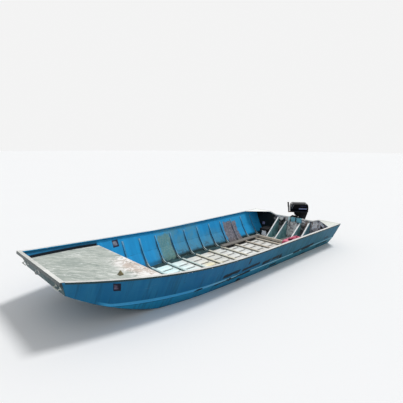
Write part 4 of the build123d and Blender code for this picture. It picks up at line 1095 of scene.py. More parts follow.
class Shape:
    """Gathers points and faces in the boat's frame and turns them into a piece."""

    def __init__(self) -> None:
        """Start with nothing."""
        self.points: list[Point] = []
        self.faces: list[tuple[int, ...]] = []
        self.stored: dict[str, list[float]] = {}

    def ring_loft(self, rings: list[list[Point]], capped: bool = True) -> None:
        """Skin through closed rings of points.

        Args:
            rings: the sections, each with as many points.
            capped: whether the first and last sections get a face.
        """
        count = len(rings[0])
        start = len(self.points)
        for ring in rings:
            self.points += ring
        for row in range(len(rings) - 1):
            low = start + row * count
            for index in range(count):
                after = (index + 1) % count
                self.faces.append((low + index, low + after, low + count + after, low + count + index))
        if capped:
            self.faces.append(tuple(range(start + count - 1, start - 1, -1)))
            last = start + (len(rings) - 1) * count
            self.faces.append(tuple(range(last, last + count)))

    def piece(self, name: str) -> Object:
        """Make the mesh object with its stored values, and turn its faces outwards.

        Args:
            name: the piece's name.

        Returns:
            The new object.
        """
        mesh = bpy.data.meshes.new(name)
        mesh.from_pydata(self.points, [], self.faces)
        for kind, values in self.stored.items():
            mesh.attributes.new(kind, "FLOAT", "POINT").data.foreach_set("value", values)
        work = bmesh.new()
        work.from_mesh(mesh)
        bmesh.ops.remove_doubles(work, verts=work.verts, dist=DOUBLES)
        bmesh.ops.recalc_face_normals(work, faces=work.faces)
        work.to_mesh(mesh)
        work.free()
        return placed(name, mesh)


def placed(name: str, data: bpy.types.ID) -> Object:
    """A new object of the scene, at the origin.

    Args:
        name: the object's name.
        data: its mesh, camera or light.

    Returns:
        The object.
    """
    made = bpy.data.objects.new(name, data)
    bpy.context.scene.collection.objects.link(made)
    return made


def evaluated(piece: Object) -> bpy.types.Mesh:
    """A new mesh of a piece with what its modifiers do."""
    bpy.context.view_layer.update()
    return bpy.data.meshes.new_from_object(piece.evaluated_get(bpy.context.evaluated_depsgraph_get()))


def softened(piece: Object, width: float, segments: int = 2, corner: float = 30.0) -> None:
    """Bevel the corners, smooth the rest, and bake both into the mesh.

    Args:
        piece: the object, whose mesh is changed.
        width: how wide the bevel is, in metres; nothing leaves it out.
        segments: how many faces the bevel has.
        corner: from how sharp an angle a corner counts, in degrees.
    """
    if width > 0:
        bevel = piece.modifiers.new("edges", "BEVEL")
        bevel.width = width
        bevel.segments = segments
        bevel.limit_method = "ANGLE"
        bevel.angle_limit = math.radians(corner)
        mesh = evaluated(piece)
        piece.modifiers.clear()
        piece.data = mesh
    piece.data.shade_smooth()
    piece.data.set_sharp_from_angle(angle=math.radians(corner + SHARP_MORE))


def handed_in(piece: Object, finish: Finish, body: str, *nodes: str) -> None:
    """Dress a finished piece and hang it on its body.

    Args:
        piece: the object.
        finish: its finish.
        body: the body that it moves with.
        nodes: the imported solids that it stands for.
    """
    material, slot = finish
    piece.data.materials.clear()
    piece.data.materials.append(material)
    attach(piece, body)
    if nodes:
        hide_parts(*nodes)
    LOG.info("%s: %d faces on %s", piece.name, len(piece.data.polygons), body)


def copied(node: str, name: str) -> Object:
    """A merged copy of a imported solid, with its flat faces whole again.

    Args:
        node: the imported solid's name.
        name: the copy's name.

    Returns:
        The copy, not yet hung on a body.
    """
    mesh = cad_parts[node].data.copy()
    mesh.name = name
    made = placed(name, mesh)
    work = bmesh.new()
    work.from_mesh(mesh)
    bmesh.ops.remove_doubles(work, verts=work.verts, dist=PACKED_DOUBLES)
    bmesh.ops.dissolve_limit(work, angle_limit=FLAT_ANGLE, verts=work.verts, edges=work.edges)
    work.to_mesh(mesh)
    work.free()
    if mesh.has_custom_normals:
        mesh.attributes.remove(mesh.attributes["custom_normal"])
    return made


class Growth(Graph):
    """Builds a geometry node tree and turns its result into a plain mesh."""

    def __init__(self, name: str, sizes: dict[str, float]) -> None:
        """Start a tree with named sizes.

        Args:
            name: the tree's name.
            sizes: its inputs and their values.
        """
        super().__init__(bpy.data.node_groups.new(name, "GeometryNodeTree"))
        face = self.tree.interface
        face.new_socket("Geometry", in_out="INPUT", socket_type="NodeSocketGeometry")
        self.sizes = sizes
        self.sockets = {}
        for size, value in sizes.items():
            kind = "NodeSocketInt" if isinstance(value, int) else "NodeSocketFloat"
            self.sockets[size] = face.new_socket(size, in_out="INPUT", socket_type=kind)
        face.new_socket("Geometry", in_out="OUTPUT", socket_type="NodeSocketGeometry")
        self.start = self.tree.nodes.new("NodeGroupInput")
        self.end = self.tree.nodes.new("NodeGroupOutput")

    def given(self, name: str) -> Wire:
        """The tree's input of that name."""
        return Wire(self, self.start.outputs[name])

    def ball(self, segments: int, rings: int, scale: Wire | Point) -> Wire:
        """A small ball stretched by a scale."""
        ball = self.out("GeometryNodeMeshUVSphere", {}, {"Segments": segments, "Rings": rings, "Radius": 1.0})
        return self.out("GeometryNodeTransform", {}, {"Geometry": ball, "Scale": scale})

    def strewn(self, points: Wire, shape: Wire, way: Wire, least: Value, most: Value) -> Wire:
        """Put a shape on every point, with its top along a direction and its size left to chance.

        Args:
            points: the points.
            shape: the shape.
            way: the direction at each point.
            least: the smallest size.
            most: the largest size.

        Returns:
            The shapes, before they are made real.
        """
        turn = self.out("FunctionNodeAlignRotationToVector", {"axis": "Z"}, {"Vector": way})
        sizes = {"Min": least, "Max": most, "Seed": self.given("Seed")}
        vary = self.out("FunctionNodeRandomValue", {"data_type": "FLOAT"}, sizes)
        values = {"Points": points, "Instance": shape, "Rotation": turn, "Scale": vary}
        return self.out("GeometryNodeInstanceOnPoints", {}, values)

    def grown(self, name: str, seed: bpy.types.Mesh, last: Wire, finish: Finish) -> None:
        """Close the tree, run it on a mesh and hang the plain result on the hull.

        Args:
            name: the result's name.
            seed: the mesh that the tree starts from.
            last: the tree's geometry before it is made real.
            finish: the result's finish.
        """
        start = placed(f"{name}_start", seed)
        real = self.out("GeometryNodeRealizeInstances", {}, {"Geometry": last})
        dressed = self.out("GeometryNodeSetMaterial", {}, {"Geometry": real, "Material": finish[0]})
        self.tree.links.new(dressed.socket, self.end.inputs[0])
        growth = start.modifiers.new("growth", "NODES")
        growth.node_group = self.tree
        for size, value in self.sizes.items():
            growth[self.sockets[size].identifier] = value
        mesh = evaluated(start)
        mesh.name = name
        mesh.shade_smooth()
        bpy.data.objects.remove(start)
        handed_in(placed(name, mesh), finish, "hull")


@dataclass
class RivetRows:
    """Round rivet heads at given places, each square to its plate."""

    name: str
    head_radius: float = 0.0048
    head_height: float = 0.0022
    seed: int = 7
    # Least and most size of a head against the others
    uneven: Flat = (0.88, 1.08)
    ball: tuple[int, int] = (12, 6)
    places: list[tuple[Point, Point]] = field(default_factory=list)

    def make(self, finish: Finish) -> None:
        """Grow the heads on their places.

        Args:
            finish: their finish.
        """
        mesh = bpy.data.meshes.new(self.name)
        mesh.from_pydata([place for place, _ in self.places], [], [])
        lean = mesh.attributes.new("lean", "FLOAT_VECTOR", "POINT")
        lean.data.foreach_set("vector", [value for _, way in self.places for value in way])
        sizes = {"Head Radius": self.head_radius, "Head Height": self.head_height, "Seed": self.seed}
        tree = Growth(f"{self.name}_tree", sizes)
        radius = tree.given("Head Radius")
        size = tree.out("ShaderNodeCombineXYZ", {}, {"X": radius, "Y": radius, "Z": tree.given("Head Height")})
        ways = tree.out("GeometryNodeInputNamedAttribute", {"data_type": "FLOAT_VECTOR"}, {"Name": "lean"})
        heads = tree.strewn(tree.given("Geometry"), tree.ball(*self.ball, size), ways, *self.uneven)
        tree.grown(self.name, mesh, heads, finish)


@dataclass
class WeldSeam:
    """A rippled bead of weld laid along lines."""

    name: str
    ripple_pitch: float = 0.0045
    bead_radius: float = 0.0032
    seed: int = 3
    # Least size of a ripple against the others, and its length against its breadth
    least: float = 0.85
    flat: float = 0.85
    ball: tuple[int, int] = (8, 5)
    runs: list[list[Point]] = field(default_factory=list)

    def make(self, finish: Finish) -> None:
        """Grow the ripples along the lines.

        Args:
            finish: their finish.
        """
        mesh = bpy.data.meshes.new(self.name)
        points, edges = [], []
        for run in self.runs:
            edges += [(len(points) + index, len(points) + index + 1) for index in range(len(run) - 1)]
            points += run
        mesh.from_pydata(points, edges, [])
        sizes = {"Ripple Pitch": self.ripple_pitch, "Bead Radius": self.bead_radius, "Seed": self.seed}
        tree = Growth(f"{self.name}_tree", sizes)
        radius = tree.given("Bead Radius")
        curve = tree.out("GeometryNodeMeshToCurve", {}, {"Mesh": tree.given("Geometry")})
        spaced = {"Curve": curve, "Length": tree.given("Ripple Pitch")}
        even = tree.out("GeometryNodeResampleCurve", {"mode": "LENGTH"}, spaced)
        tangent = tree.out("GeometryNodeInputTangent", {}, {})
        ripple = tree.ball(*self.ball, (1.0, 1.0, self.flat))
        tree.grown(self.name, mesh, tree.strewn(even, ripple, tangent, radius * self.least, radius), finish)


# The hull's form


@dataclass
class Section:
    """One cross-section of the hull, with its foot and top at two places along the boat."""

    foot: float
    top: float
    chine: Flat
    knuckle: Flat
    edge: Flat

    def along(self, height: float) -> float:
        """Place along the boat of a height on this section."""
        return self.foot + (self.top - self.foot) * (height - self.chine[1]) / (self.edge[1] - self.chine[1])

    def across(self, height: float) -> float:
        """Half-breadth outside the plating at a height."""
        low, high = (self.chine, self.knuckle) if height <= self.knuckle[1] else (self.knuckle, self.edge)
        return low[0] + (high[0] - low[0]) * (height - low[1]) / (high[1] - low[1])

    def point(self, half: float, height: float, side: float = 1.0) -> Point:
        """The point at a half-breadth and height, on one side."""
        return (self.along(height), side * half, height)


@dataclass
class HullForm:
    """The hull's lines in metres, counted along the boat from the transom."""

    length: float = 5.2
    half_beam: float = 1.01
    bow_half_beam: float = 0.645
    taper_start: float = 3.12
    freeboard: float = 0.43
    sheer_start: float = 2.34
    bow_sheer: float = 0.218
    draught: float = 0.08
    chine_half: float = 0.735
    bow_chine_half: float = 0.556
    chine_taper_start: float = 1.9
    rake_start: float = 3.4
    bow_foot_rise: float = 0.541
    bow_rake: float = 0.06
    transom_rake: float = 0.045
    knuckle_rise: float = 0.222
    knuckle_bulge: float = 0.025
    knuckle_end: float = 4.7
    knuckle_least: float = 0.012
    # How far into the bow's curve the sections still stand upright
    upright_share: float = 6 / 7
    plate: float = 0.003
    # Thickness of the side sheets, measured level
    side_plate: float = 0.0033

    def drop(self, place: float, start: float, end: float, total: float) -> float:
        """How far a circular arc has left its tangent.

        Args:
            place: where it is asked, along the tangent.
            start: where the arc leaves the tangent.
            end: where the arc ends.
            total: how far it has left the tangent there.

        Returns:
            The distance from the tangent.
        """
        run = end - start
        radius = (run**2 + total**2) / (2 * total)
        reach = min(max(place - start, 0.0), run)
        return radius - math.sqrt(radius**2 - reach**2)

    @property
    def foot_end(self) -> float:
        """Where the bottom meets the bow plate."""
        return self.length - self.bow_rake

    def keel(self, place: float) -> float:
        """Height of the bottom."""
        return -self.draught + self.drop(place, self.rake_start, self.foot_end, self.bow_foot_rise)

    def sheer(self, place: float) -> float:
        """Height of the gunwale."""
        return self.freeboard + self.drop(place, self.sheer_start, self.length, self.bow_sheer)

    def breadth(self, place: float) -> float:
        """Half-breadth at the gunwale."""
        return self.half_beam - self.drop(place, self.taper_start, self.length, self.half_beam - self.bow_half_beam)

    def chine(self, place: float) -> float:
        """Half-breadth at the chine."""
        return self.chine_half - self.drop(
            place, self.chine_taper_start, self.foot_end, self.chine_half - self.bow_chine_half)

    def section(self, place: float) -> Section:
        """The cross-section whose top is at a place along the boat.

        Args:
            place: distance from the transom's top, in metres.

        Returns:
            The section, with X counted from amidships.
        """
        upright_from = self.sheer_start / 2
        upright_to = self.rake_start + (self.foot_end - self.rake_start) * self.upright_share
        foot = place
        if place < upright_from:
            foot = place + self.transom_rake * (1 - place / upright_from)
        if place > upright_to:
            foot = place - self.bow_rake * (place - upright_to) / (self.length - upright_to)
        low, high = self.keel(foot), self.sheer(place)
        bulge = self.knuckle_least
        if foot <= self.knuckle_end:
            bulge = self.knuckle_rise - self.drop(
                foot, self.rake_start, self.knuckle_end, self.knuckle_rise - self.knuckle_least)
        chine = (self.chine(foot), low)
        edge = (self.breadth(place), high)
        share = bulge / (high - low)
        out = chine[0] + (edge[0] - chine[0]) * share + self.knuckle_bulge * bulge / self.knuckle_rise
        middle = self.length / 2
        return Section(foot - middle, place - middle, chine, (out, low + bulge), edge)

    def sections(self, start: float, end: float, count: int) -> list[Section]:
        """Evenly spaced sections between two places."""
        return [self.section(start + (end - start) * index / (count - 1)) for index in range(count)]


@dataclass
class HullShell:
    """The plating and its rails: bottom, both sides, gunwales and the welds at the corners."""

    form: HullForm
    made: dict[str, Finish]
    stations: int = 150
    bead_width: float = 0.04
    bead_depth: float = 0.008
    bead_slope: float = 0.009
    # How far out from a bead's edge, and how low, its rounded lip is
    bead_lip: Flat = (0.004, -0.0012)
    bead_places: tuple[float, ...] = (-0.44, -0.264, -0.088, 0.088, 0.264, 0.44)
    dent: float = 0.0014
    gap: float = 0.0003
    rail_width: float = 0.04
    rail_height: float = 0.027
    rail_wall: float = 0.003
    spray_rail: float = 0.007
    # Points of the spray rail: height from the knuckle, and share of its breadth, aft and where the knuckle fades
    spray_line: tuple[Flat, ...] = ((-0.01, 0.2), (-0.007, 0.8), (-0.003, 1.0), (0.001, 0.75), (0.004, 0.2))
    faded_line: tuple[float, ...] = (-0.003, -0.002, -0.001, 0.0, 0.004)
    # Least height of the strip under the knuckle that still has its spray rail
    rail_room: float = 0.03
    # Aft and fore ends of the gunwale rails, from the hull's ends
    rail_ends: Flat = (0.0333, 0.0263)

    def dented(self, point: Point, way: float) -> Point:
        """A plate's point, pushed in or out a little, and not at all near its ends.

        Args:
            point: the point before it is moved.
            way: the side's sign.

        Returns:
            The point.
        """
        x, y, z = point
        middle = self.form.length / 2
        ends = min(1.0, max(0.0, (middle - 0.1 - abs(x)) / 0.3))
        broad = noise.noise(Vector((x * 3.1, way * 2.0, z * 5.0)))
        fine = noise.noise(Vector((x * 8.0, way, z * 9.0)))
        return (x, y + way * (broad + 0.6 * fine) * self.dent * ends, z)

    def bottom(self) -> None:
        """Build the bottom, with its pressed beads and the bow's curve."""
        shape, rings = Shape(), []
        half, (out, lip) = self.bead_width / 2, self.bead_lip
        slope = ((half + out, 0.0), (half - 0.001, lip), (half - self.bead_slope, -self.bead_depth))
        bead = [(-y, z) for y, z in slope] + list(slope[::-1])
        for station in self.form.sections(self.gap, self.form.length - self.gap, self.stations):
            low = station.chine[1]
            under = [(-station.chine[0], 0.0)]
            under += [(place + y, z) for place in self.bead_places for y, z in bead]
            under.append((station.chine[0], 0.0))
            over = [(y, z + self.form.plate) for y, z in under]
            rings.append([(station.along(low + z), y, low + z) for y, z in under + over[::-1]])
        shape.ring_loft(rings)
        piece = shape.piece("bottom_plating")
        softened(piece, 0.0, corner=20.0)
        handed_in(piece, self.made["floor"], "hull", "hull_bottom")

    def side(self, side: Side) -> None:
        """Build one side sheet, with its knuckle, pressed spray rail and stored heights.

        Args:
            side: which side it is.
        """
        shape, rings, knuckles, rails = Shape(), [], [], []
        way = side.value
        for station in self.form.sections(self.gap, self.form.length - self.gap, self.stations):
            low = station.chine[1] + self.form.plate + self.gap
            high = station.edge[1] - self.rail_wall - self.gap
            out, bend = station.knuckle
            roomy = bend - low > self.rail_room
            foot = bend - (0.016 if roomy else 0.004)
            outer = [(station.across(z), z) for z in (low + (foot - low) * i / 8 for i in range(9))]
            if roomy:
                ridge = self.spray_rail * min(1.0, (bend - station.chine[1]) / self.form.knuckle_rise)
                outer += [((out if index else station.across(bend + lift)) + ridge * share, bend + lift)
                          for index, (lift, share) in enumerate(self.spray_line)]
            else:
                outer += [(out if -0.003 < lift < 0.004 else station.across(bend + lift), bend + lift)
                          for lift in self.faded_line]
            upper = bend + 0.008
            outer += [(station.across(z), z) for z in (upper + (high - upper) * i / 14 for i in range(15))]
            inner = [(station.across(z) - self.form.side_plate, z) for _, z in outer]
            loop = outer + inner[::-1]
            rings.append([self.dented(station.point(y, z, way), way) for y, z in loop])
            knuckles += [z - bend for _, z in loop]
            rails += [station.edge[1] - z for _, z in loop]
        shape.ring_loft(rings)
        shape.stored = {"over_knuckle": knuckles, "under_rail": rails}
        piece = shape.piece(f"side_sheet_{side.name.lower()}")
        softened(piece, 0.0, corner=24.0)
        handed_in(piece, self.made["hull"], "hull", f"side_{side.name.lower()}")

    def rail(self, side: Side) -> None:
        """Build one gunwale rail, a channel over the side's top edge.

        Args:
            side: which side it is.
        """
        shape, rings = Shape(), []
        aft, fore = self.rail_ends
        for station in self.form.sections(aft, self.form.length - fore, self.stations):
            edge, high = station.edge
            lean = (edge - station.knuckle[0]) / (high - station.knuckle[1])
            grip, wall, tall, lip = edge + self.gap, self.rail_wall, self.rail_height, edge - self.rail_width
            outline = [
                (grip + wall, high), (grip + wall - lean * tall, high - tall), (grip - lean * tall, high - tall),
                (grip - lean * wall, high - wall), (lip + wall, high - wall), (lip + wall, high - tall / 2),
                (lip, high - tall / 2), (lip, high),
            ]
            rings.append([station.point(y, z, side.value) for y, z in outline])
        shape.ring_loft(rings)
        piece = shape.piece(f"gunwale_rail_{side.name.lower()}")
        softened(piece, 0.0012, 2, 40.0)
        handed_in(piece, self.made["rail"], "hull", f"gunwale_{side.name.lower()}")

    def welds(self) -> None:
        """Lay the welds up the four corners outside, and up the two at the transom inside."""
        seam = WeldSeam("corner_welds")
        inside = self.form.side_plate + 0.001
        for place, inward in ((0.0012, 0.0), (self.form.length - 0.0012, 0.0), (0.0075, inside)):
            station = self.form.section(place)
            low, high = station.chine[1] + 0.006, station.edge[1] - 0.034
            for side in Side:
                heights = [low + (high - low) * index / 20 for index in range(21)]
                seam.runs.append([station.point(station.across(z) - inward, z, side.value) for z in heights])
        seam.make(self.made["bead"])


@dataclass
class WaterlineFloor:
    """The pale floor at the waterline, open where the hull stands in it."""

    form: HullForm
    reach: float = 70.0
    shrink: float = 0.0016
    stations: int = 90
    colour: Colour = (0.8, 0.8, 0.8)
    seen_colour: Colour = (0.9, 0.9, 0.9)
    cloudy: Colour = (0.72, 0.72, 0.72)

    def outline(self) -> list[Flat]:
        """The hull's outline at the waterline, a little inside the plating.

        Returns:
            The outline, once round.
        """
        port = []
        for station in self.form.sections(0.0, self.form.length, self.stations):
            if station.chine[1] < -0.0005:
                port.append((station.along(0.0), station.across(0.0) - self.shrink))
        port[0] = (port[0][0] + self.shrink, port[0][1])
        return port + [(x, -y) for x, y in port[::-1]]

    def make(self) -> None:
        """Build the floor and its material."""
        ring = self.outline()
        shape = Shape()
        far = []
        for x, y in ring:
            stretch = self.reach / math.hypot(x, y)
            far.append((x * stretch, y * stretch))
        shape.ring_loft([[(x, y, 0.0) for x, y in ring], [(x, y, 0.0) for x, y in far]], capped=False)
        floor = shape.piece("floor")
        if floor.data.polygons[0].normal.z < 0:
            floor.data.flip_normals()
        recipe = Recipe("floor_pale")
        seen = recipe.out("ShaderNodeLightPath", {}, {}, "Is Camera Ray")
        mirrored = recipe.out("ShaderNodeLightPath", {}, {}, "Is Glossy Ray")
        grain = recipe.clouds(0.6, 3.0, 0.5)
        tone = recipe.mixed(seen.most(mirrored), self.colour, self.seen_colour)
        tone = recipe.mixed(grain * 0.06, tone, self.cloudy)
        floor.data.materials.append(recipe.finish(tone, 0.9, shine=0.2))


@dataclass
class Studio:
    """Camera, world light and lamps."""

    eye: Point = (3.7551, 3.7236, 1.962)
    heading: float = -2.33947
    pitch: float = 0.174298
    roll: float = 0.006273
    lens: float = 30.402
    sensor: float = 36.0
    far: float = 300.0
    sky: float = 0.55
    sky_colour: Colour = (0.96, 0.98, 1.0)
    backdrop: Colour = (0.9, 0.9, 0.9)
    key: float = 1.75
    key_from: Point = (-0.42, 0.1, 0.9)
    key_softness: float = 14.0

    def camera(self) -> None:
        """Place the camera at the photograph's viewing angle."""
        forward = Vector((
            math.cos(self.heading) * math.cos(self.pitch),
            math.sin(self.heading) * math.cos(self.pitch), -math.sin(self.pitch)))
        right = Vector((math.sin(self.heading), -math.cos(self.heading), 0.0))
        up = right.cross(forward)
        level_right = right * math.cos(self.roll) + up * math.sin(self.roll)
        level_up = up * math.cos(self.roll) - right * math.sin(self.roll)
        data = bpy.data.cameras.new("camera")
        data.sensor_width = self.sensor
        data.sensor_fit = "HORIZONTAL"
        data.lens = self.lens
        data.clip_end = self.far
        camera = placed("camera", data)
        basis = Matrix((level_right, level_up, -forward)).transposed().to_4x4()
        camera.matrix_world = Matrix.Translation(self.eye) @ basis
        bpy.context.scene.camera = camera

    def lights(self) -> None:
        """Set the world's pale sky and one high, soft key light."""
        world = bpy.data.worlds.new("studio")
        world.use_nodes = True
        graph = Graph(world.node_tree)
        sky = graph.out("ShaderNodeBackground", {}, {"Color": self.sky_colour, "Strength": self.sky})
        shown = graph.out("ShaderNodeBackground", {}, {"Color": self.backdrop})
        camera, glossy, through = (
            graph.out("ShaderNodeLightPath", {}, {}, f"Is {kind} Ray") for kind in ("Camera", "Glossy", "Transmission"))
        pick = graph.out("ShaderNodeMixShader", {}, {0: camera.most(glossy).most(through), 1: sky, 2: shown})
        graph.node("ShaderNodeOutputWorld", {}, {"Surface": pick})
        bpy.context.scene.world = world
        sun = bpy.data.lights.new("key", "SUN")
        sun.energy = self.key
        sun.angle = math.radians(self.key_softness)
        lamp = placed("key", sun)
        lamp.rotation_euler = Vector(self.key_from).to_track_quat("Z", "Y").to_euler()

    def make(self) -> None:
        """Set up view, camera and lights."""
        bpy.context.scene.view_settings.view_transform = "Standard"
        self.camera()
        self.lights()


@dataclass
class ForeDeck:
    """The warped deck sheet and the screws that hold it."""

    form: HullForm
    made: dict[str, Finish]
    aft: float = 4.05
    wall: float = 0.015
    aft_height: float = 0.425
    fore_height: float = 0.543
    bow_gap: float = 0.012
    side_gap: float = 0.018
    across: int = 60
    lengthwise: int = 40

    @property
    def fore(self) -> float:
        """The deck's front edge, from the transom."""
        return self.form.foot_end - self.bow_gap

    def height(self, place: float) -> float:
        """Height of the deck's top at a place."""
        return self.aft_height + (place - self.aft) * (self.fore_height - self.aft_height) / (self.fore - self.aft)

    def edge(self, place: float) -> float:
        """Half-breadth of the sheet at a place, before it is worn."""
        section = self.form.section(place)
        return section.across(self.height(place) - self.wall) - self.form.side_plate - self.side_gap

    def warp(self, place: float, share: float) -> float:
        """How far the sheet has sunk below its plane, most at the port edge near the bow.

        Args:
            place: the place from the transom.
            share: the place across, from -1 at the starboard edge to 1 at the port one.

        Returns:
            The depth.
        """
        down = max(0.0, share) ** 6
        reach = (place - self.aft) / (self.fore - self.aft)
        ripple = 0.5 + 0.5 * math.sin(place * 8.3 + 0.6)
        return down * (0.004 + 0.006 * reach * ripple)

    def sheet(self) -> None:
        """Build the deck sheet, with its wavy port edge and slightly uneven top."""
        rings = []
        for row in range(self.lengthwise + 1):
            place = self.aft + (self.fore - self.aft) * row / self.lengthwise
            half = self.edge(place)
            broad, fine = (noise.noise(Vector((place * often, seed, 0.0))) for often, seed in ((4.0, 3.0), (17.0, 5.0)))
            bite = 0.006 * broad + 0.004 * fine
            reach = (place - self.aft) / (self.fore - self.aft)
            port = half - 0.014 * math.sin(math.pi * min(1.0, reach * 1.15)) ** 2 - abs(bite)
            ragged = 0.0022 * noise.noise(Vector((0.0, place * 23.0, 1.0)))
            top, low = [], []
            for column in range(self.across + 1):
                share = 2 * column / self.across - 1
                y = share * (port if share > 0 else half)
                x = place - self.form.length / 2 + (ragged if row in (0, self.lengthwise) else 0.0)
                swell = 0.0012 * noise.noise(Vector((place * 3.0, y * 3.0, 0.0)))
                z = self.height(place) - self.warp(place, share) + swell * (1 - abs(share)) - 0.001
                top.append((x, y, z))
                low.append((x, y, z - self.wall + 0.001))
            rings.append(top + low[::-1])
        shape = Shape()
        shape.ring_loft(rings)
        piece = shape.piece("deck_sheet")
        softened(piece, 0.0012, 2, 40.0)
        handed_in(piece, self.made["ply"], "hull", "fore_deck")

    def screws(self) -> None:
        """Set the screw heads that hold the sheet to its ledgers and beam."""
        rows = RivetRows("deck_screws", 0.005, 0.001, 11)
        lean = (-(self.fore_height - self.aft_height) / (self.fore - self.aft), 0.0, 1.0)
        middle = self.form.length / 2
        for index in range(8):
            place = self.aft + 0.06 + (self.fore - self.aft - 0.1) * index / 7
            for side in Side:
                y = side.value * (self.edge(place) - 0.04)
                rows.places.append(((place - middle, y, self.height(place) - 0.0012), lean))
        for index in range(7):
            y = -0.66 + 1.32 * index / 6
            rows.places.append(((self.aft + 0.02 - middle, y, self.height(self.aft + 0.02) - 0.0012), lean))
        rows.make(self.made["steel"])


@dataclass
class RibSet:
    """The ribs' tapered legs up both sides, with their rivets."""

    form: HullForm
    made: dict[str, Finish]
    count: int = 11
    first: float = 0.31
    pitch: float = 0.33
    leg_width: float = 0.03
    leg_depth: float = 0.02
    bend: float = 0.13
    knuckle_bend: float = 0.3
    top_below: float = 0.092
    seat: float = 0.0033
    # Length over which a leg runs out at its top, and how much of its depth is left there
    run_out: float = 0.16
    least_depth: float = 0.3
    # Breadth and thickness of the flange on each side of a leg
    flange: Flat = (0.007, 0.003)

    def places(self) -> list[float]:
        """Places of the ribs, from the transom."""
        return [self.first + self.pitch * index for index in range(self.count)]

    def inset(self, points: list[Flat], distance: float) -> list[Flat]:
        """Move an open line to its left, with mitred corners.

        Args:
            points: the line.
            distance: how far it is moved.

        Returns:
            The moved line.
        """
        normals = []
        for (y0, z0), (y1, z1) in zip(points, points[1:]):
            length = math.hypot(y1 - y0, z1 - z0)
            normals.append((-(z1 - z0) / length, (y1 - y0) / length))
        moved = []
        for index, (y, z) in enumerate(points):
            before = normals[max(index - 1, 0)]
            after = normals[min(index, len(normals) - 1)]
            share = distance / (1 + before[0] * after[0] + before[1] * after[1])
            moved.append((y + share * (before[0] + after[0]), z + share * (before[1] + after[1])))
        return moved

    def rounded(self, points: list[Flat], radii: list[float], steps: int = 9) -> list[Flat]:
        """A line with its inner corners rounded.

        Args:
            points: the line.
            radii: one radius for each inner corner.
            steps: how many pieces an arc has.

        Returns:
            The rounded line.
        """
        line = [points[0]]
        for index, radius in enumerate(radii, start=1):
            here = Vector(points[index])
            back = (Vector(points[index - 1]) - here).normalized()
            ahead = (Vector(points[index + 1]) - here).normalized()
            half = back.angle(ahead) / 2
            reach = radius / math.tan(half)
            centre = here + (back + ahead).normalized() * radius / math.sin(half)
            start, end = here + back * reach - centre, here + ahead * reach - centre
            turn = start.angle_signed(end)
            for step in range(steps + 1):
                angle = -turn * step / steps
                line.append((
                    centre.x + start.x * math.cos(angle) - start.y * math.sin(angle),
                    centre.y + start.x * math.sin(angle) + start.y * math.cos(angle)))
        return [*line, points[-1]]

    def route(self, place: float) -> list[Flat]:
        """The line on the plating that a leg's foot face follows, from the floor to its top.

        Args:
            place: the leg's place from the transom.

        Returns:
            The line, across and up.
        """
        section = self.form.section(place)
        outer = [(0.0, section.chine[1]), section.chine, section.knuckle, section.edge]
        line = self.inset(outer, self.seat + self.leg_depth / 2)
        turn = math.atan2(line[2][1] - line[1][1], line[2][0] - line[1][0])
        start = line[1][0] - self.bend * math.tan(turn / 2) - 0.001
        high = section.edge[1] - self.top_below
        low, top = line[2], line[3]
        end = low[0] + (top[0] - low[0]) * (high - low[1]) / (top[1] - low[1])
        return self.rounded([(start, line[1][1]), line[1], low, (end, high)], [self.bend, self.knuckle_bend])

    def legs(self, side: Side) -> None:
        """Build the legs of one side as pressed hat sections that run out at their tops.

        Args:
            side: which side it is.
        """
        shape = Shape()
        middle = self.form.length / 2
        for place in self.places():
            line = self.route(place)
            run = [0.0]
            for first, second in zip(line, line[1:]):
                run.append(run[-1] + math.dist(first, second))
            rings = []
            for index, (y, z) in enumerate(line):
                before = Vector(line[max(index - 1, 0)])
                after = Vector(line[min(index + 1, len(line) - 1)])
                ahead = (after - before).normalized()
                inward = Vector((-ahead.y, ahead.x))
                left = min(1.0, (run[-1] - run[index]) / self.run_out)
                foot, half, (wide, thick) = -self.leg_depth / 2, self.leg_width / 2, self.flange
                crown = foot + self.leg_depth * (self.least_depth + (1 - self.least_depth) * left)
                slope = [(half + wide, foot), (half + wide, foot + thick), (half - 0.001, foot + thick),
                         (half - 0.005, crown)]
                section = [(-u, v) for u, v in slope] + slope[::-1]
                rings.append([
                    (place - middle + u, side.value * (y + inward.x * v), z + inward.y * v) for u, v in section
                ])
            shape.ring_loft(rings)
        piece = shape.piece(f"rib_legs_{side.name.lower()}_pressed")
        softened(piece, 0.0011, 2, 35.0)
        handed_in(piece, self.made["rib"], "hull", f"rib_legs_{side.name.lower()}")

    def rivets(self) -> None:
        """Set the rivets that hold each leg, seen outside the plating."""
        rows = RivetRows("side_rivets", 0.005, 0.002, 5)
        for place in self.places():
            section = self.form.section(place)
            low, high = section.knuckle[1] + 0.05, section.edge[1] - self.top_below
            lean = math.atan2(section.edge[0] - section.knuckle[0], section.edge[1] - section.knuckle[1])
            for side in Side:
                for index in range(5):
                    z = low + (high - low) * index / 4
                    way = (0.0, side.value * math.cos(lean), -math.sin(lean))
                    rows.places.append((section.point(section.across(z), z, side.value), way))
                for index in range(3):
                    z = section.chine[1] + (section.knuckle[1] - section.chine[1]) * (0.25 + 0.27 * index)
                    rows.places.append((section.point(section.across(z), z, side.value), (0.0, side.value, -0.3)))
        rows.make(self.made["rivet"])


